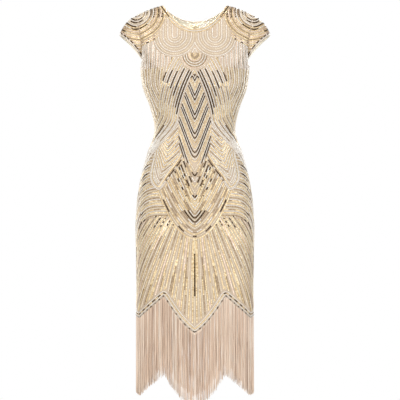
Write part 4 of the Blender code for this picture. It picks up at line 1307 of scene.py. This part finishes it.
def lining_piece(name, cloth):
    """The satin lining inside the back of the neck, with two soft ripples."""
    rows, columns = LINING_ROWS * ONE_ROW + 1, round(NECK_COLUMNS / COLUMN_STEP) + 1
    points, normals = (layer[-rows:, :columns] for layer in (inner_layer(cloth, 1), cloth.normals()))
    x = np.abs(points[:, :, 0])
    edge = ZIP_TAPE_HALF + SEAM_GAP
    first = int(np.argmax(x[-1] > edge)) - 1
    points, normals, x = points[:, first:].copy(), normals[:, first:], x[:, first:]
    points[:, 0] = blend(points[:, 0], points[:, 1], (edge - x[:, 0]) / (x[:, 1] - x[:, 0]))
    fade = np.linspace(0, 1, rows)[::-1, None, None]
    ripple = RIPPLE * np.sin(np.linspace(0, RIPPLE_TURN, points.shape[1]))[None, :, None] * fade
    return wall(name, points + normals * ripple, normals, LINING_HALF, SATIN, SATIN)


def strip(name, points, normals, spots, surface):
    """A thin strip of a left back layer at the given X, mirrored below 0, with its grid and normals."""
    grid, faces = [], []
    for row, face in zip(points, normals):
        far = at_stops(np.abs(spots), row[:, 0], np.concatenate([row, face], axis=1))
        grid.append(np.column_stack([spots, far[:, 1:3]]))
        faces.append(np.column_stack([np.sign(spots) * far[:, 3], far[:, 4:]]))
    grid, faces = np.array(grid), unit(np.array(faces))
    middle = np.isclose(spots, 0)
    faces[:, middle] = unit(faces[:, middle] * (0, 1, 1))
    return grid, faces, wall(name, grid, faces, TRIM_HALF, surface, surface)


def label_piece(name, cloth):
    """A bare woven label, held by stitches at its two ends."""
    last = len(cloth.points) - 1 - ONE_ROW
    rows = slice(last - (LABEL_ROWS - 1) * ONE_ROW, last + 1)
    spots = np.linspace(*LABEL_SPAN, STRIP_COLUMNS)
    return strip(name, inner_layer(cloth, 2)[rows], cloth.normals()[rows], spots, LABEL)


def zip_rows(cloth):
    """The back seam's inner points and normals from the hip up to the zip's end under the neck."""
    points, normals = inner_layer(cloth, 1), cloth.normals()
    kept = points[:, 0, 2] > ZIP_END_Z
    kept[-ONE_ROW:] = False
    return points[kept], normals[kept]


def tape_piece(name, cloth):
    """The closed zip's tape, one strip inside the back seam from the neck to the hip."""
    points, normals = zip_rows(cloth)
    spots = np.linspace(-ZIP_TAPE_HALF, ZIP_TAPE_HALF, STRIP_COLUMNS)
    return strip(name, points[::2], normals[::2], spots, TAPE)


def stitch_shape(long, radius):
    """A thread that rises out of the cloth and dips back into it."""
    stations = ((-0.5, -0.6), (-0.32, 0.5), (0.0, 0.9), (0.32, 0.5), (0.5, -0.6))
    sides = 5
    circle = ring(sides, 1.0, 0.0)[:, [2, 0, 1]]
    points = [(circle + (0, 0, up)) * radius + (at * long, 0, 0) for at, up in stations]
    index = np.arange(len(stations) * sides).reshape(-1, sides)
    return np.concatenate(points), tube_faces(index)


def label_stitches(name, path, face):
    """A row of short sewing stitches along one end of the label."""
    walked = walk(path)
    stops = np.arange(STITCH_PITCH / 2, walked[-1], STITCH_PITCH)
    along = unit(at_stops(stops, walked, np.gradient(path, walked, axis=0)))
    out = unit(at_stops(stops, walked, face))
    centres = at_stops(stops, walked, path) + out * TRIM_HALF
    return scatter(name, centres, along, out, stitch_shape(STITCH_LONG, STITCH_RADIUS), THREAD)


def zip_teeth(name, cloth):
    """The two interlocking rows of the closed zip, on the inside of its tape."""
    path, face = (layer[:, 0] * (0, 1, 1) for layer in zip_rows(cloth))
    walked = walk(path)
    stops = np.arange(TOOTH_PITCH, walked[-1] - TOOTH_PITCH, TOOTH_PITCH)
    out = unit(at_stops(stops, walked, -unit(face)))
    centres = at_stops(stops, walked, path) + out * (THIN / 2 + TOOTH_LIFT)
    centres[:, 0] += np.where(np.arange(len(stops)) % 2, TOOTH_OFF, -TOOTH_OFF)
    across = np.tile((1.0, 0, 0), (len(stops), 1))
    return scatter(name, centres, across, out, stitch_shape(TOOTH_LONG, TOOTH_RADIUS), BRASS)


def refined(node, name, width):
    """A copy of a hard node with rounded edges."""
    mesh = frame["nodes"][node].data.copy()
    mesh.materials.clear()
    mesh.materials.append(BRASS)
    made = add_object(name, mesh)
    weld = made.modifiers.new("weld", "WELD")
    weld.merge_threshold = WELDED
    bevel = made.modifiers.new("bevel", "BEVEL")
    bevel.width = width
    bevel.segments = 3
    bevel.limit_method = "ANGLE"
    bevel.angle_limit = EDGE_TURN
    bevel.harden_normals = False
    return made


# ---------------------------------------------------------------- the dress
def settle(piece, body, slot, *nodes):
    """Lets a piece ride on its body, and hides the nodes it stands for."""
    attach(piece, body)
    if nodes:
        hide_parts(*nodes)


def beaded(node, cloth, work, random):
    """A cut piece of net with its beadwork. The area of the rectangle that it was cut from is worked out,
    but not kept.
    """
    skin, beads = shell(cloth), work(cloth, random)
    settle(skin, "dress", "beaded_net", node)
    for piece in beads:
        settle(piece, "dress", "beaded_net")
    points = cloth.points
    run, rise = np.diff(points, axis=1), np.diff(points, axis=0)
    across = float(np.linalg.norm(run, axis=2).sum(axis=1).max())
    up = float(np.linalg.norm(rise, axis=2).sum(axis=0).max())
    area = float(np.linalg.norm(np.cross(rise[:, :-1], run[:-1]), axis=2).sum())
    area = round(min(area, across * up), 4)
    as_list(beads)


def neck_edges(panels):
    front_ends = ((0, -1, 0), (0, 1, 0))
    rows = (("front", front_ends), ("back_left", ((1, 0, 0), (0, -1, 0))),
            ("back_right", ((-1, 0, 0), (0, -1, 0))))
    for node, ends in rows:
        piece = neck_edge("neck_edge_" + node, panels[node], ends)
        settle(piece, "dress", "binding", "neck_binding_" + node)


def inside_back(panels):
    for side in ("left", "right"):
        lining = lining_piece(f"back_{side}_lining", panels["back_" + side])
        settle(lining, "dress", "lining", "back_lining_" + side)
    grid, faces, label = label_piece("label", panels["back_left"])
    settle(label, "dress", "label", "neck_label")
    sewn = []
    for end, column, inward in (("inner", 0, 1), ("outer", -1, -2)):
        path = blend(grid[:, column], grid[:, inward], STITCH_IN)
        sewn.append(label_stitches("label_stitches_" + end, path, -faces[:, column]))
        settle(sewn[-1], "dress", "label")


def zip_parts(cloth):
    grid, _, tape = tape_piece("zip_tape_woven", cloth)
    settle(tape, "dress", "zip_tape", "zip_tape")
    long = float(walk(grid[:, STRIP_COLUMNS // 2])[-1])
    settle(zip_teeth("zip_teeth", cloth), "dress", "zip_metal")
    settle(refined("zip_slider", "slider_rounded", 0.00035), "dress", "zip_metal", "zip_slider")
    settle(refined("zip_pull", "pull_rounded", 0.00025), "pull", "zip_metal", "zip_pull")


def dress():
    random = np.random.default_rng(1925)
    panels = {
        "front": body_panel("front", FRONT, -HALF_COLUMNS, HALF_COLUMNS),
        "back_left": body_panel("back_left", BACK, 0, HALF_COLUMNS),
        "back_right": body_panel("back_right", BACK, 0, -HALF_COLUMNS),
    }
    for node, cloth in panels.items():
        beaded(node, cloth, bead_panel, random)
    for node, sign in (("sleeve_left", 1), ("sleeve_right", -1)):
        beaded(node, sleeve_cloth(node, sign), bead_sleeve, random)
    for node, side in (("fringe_front", FRONT), ("fringe_back", BACK)):
        strands = fringe_piece(node + "_strands", side, random)
        band = fringe_heading(node + "_heading", side)
        settle(strands, "dress", "fringe", node)
        settle(band, "dress", "fringe", node)
    neck_edges(panels)
    inside_back(panels)
    zip_parts(panels["back_left"])


# ---------------------------------------------------------------- floor, light and camera
FLOOR_Z, FLOOR_RADIUS = -1.40, 0.90
CAMERA_DISTANCE, VIEW_WIDTH = 3.5, 1.18
VIEW_CENTRE, BACK_NECK = Vector((0.015, 0.0, -0.571)), Vector((0.0, 0.07, -0.06))
BACKDROP, GLOW = 1.0, 0.52  # the world's strength where the camera sees it, and as light
# Place, aim, spread in degrees, size, strength and colour of each soft light.
LIGHTS = (
    ("key", (-1.7, -2.6, 0.9), VIEW_CENTRE, 180, 1.3, 54, (1.0, 0.97, 0.92)),
    ("fill", (2.1, -2.2, 0.2), VIEW_CENTRE, 180, 1.6, 39, (0.98, 0.98, 0.98)),
    ("back", (1.2, 2.7, 0.7), VIEW_CENTRE, 180, 1.6, 62, (1.0, 0.98, 0.95)),
    ("back_fill", (-1.7, 2.3, 0.0), VIEW_CENTRE, 180, 1.6, 40, (1.0, 0.99, 0.97)),
    ("low", (0.0, -2.6, -1.6), VIEW_CENTRE, 180, 1.2, 8, (1.0, 0.98, 0.95)),
    ("top", (0.0, -0.10, 0.50), VIEW_CENTRE, 180, 0.3, 1.1, (1.0, 0.98, 0.94)),
    ("neck", (0.0, -0.30, 0.42), BACK_NECK, 24, 0.05, 0.12, (1.0, 0.97, 0.92)),
)


def floor():
    sides = 96
    paint = Paint("pale_floor", PLAIN, ((0.86, 0.85, 0.83), (0.90, 0.89, 0.87)), 0.85)
    paint.links.new(paint.noise(3), paint.ramp.inputs["Fac"])
    outline = ring(sides, FLOOR_RADIUS, FLOOR_Z)
    new_mesh("floor", outline, np.arange(sides)[None], paint.made)


def world():
    made = bpy.data.worlds.new("studio")
    made.use_nodes = True
    nodes, links = made.node_tree.nodes, made.node_tree.links
    back = nodes["Background"]
    back.inputs["Color"].default_value = (1, 1, 1, 1)
    path = nodes.new("ShaderNodeLightPath")
    strength = nodes.new("ShaderNodeMapRange")
    strength.inputs["To Min"].default_value = GLOW
    strength.inputs["To Max"].default_value = BACKDROP
    links.new(path.outputs["Is Camera Ray"], strength.inputs["Value"])
    links.new(strength.outputs["Result"], back.inputs["Strength"])
    bpy.context.scene.world = made


def lights():
    for name, place, aim, spread, size, power, colour in LIGHTS:
        data = bpy.data.lights.new(name, "AREA")
        data.energy = power
        data.size = size
        data.spread = math.radians(spread)
        data.color = colour
        made = add_object(name, data)
        made.location = place
        made.rotation_euler = (aim - Vector(place)).to_track_quat("-Z", "Y").to_euler()


def camera():
    data = bpy.data.cameras.new("camera")
    data.sensor_width = 36
    data.lens = data.sensor_width * CAMERA_DISTANCE / VIEW_WIDTH
    made = add_object("camera", data)
    made.location = VIEW_CENTRE + Vector((0, -CAMERA_DISTANCE, 0))
    made.rotation_euler = (math.pi / 2, 0, 0)
    bpy.context.scene.camera = made


dress()
floor()
world()
lights()
camera()
bpy.context.scene.view_settings.view_transform = "Standard"
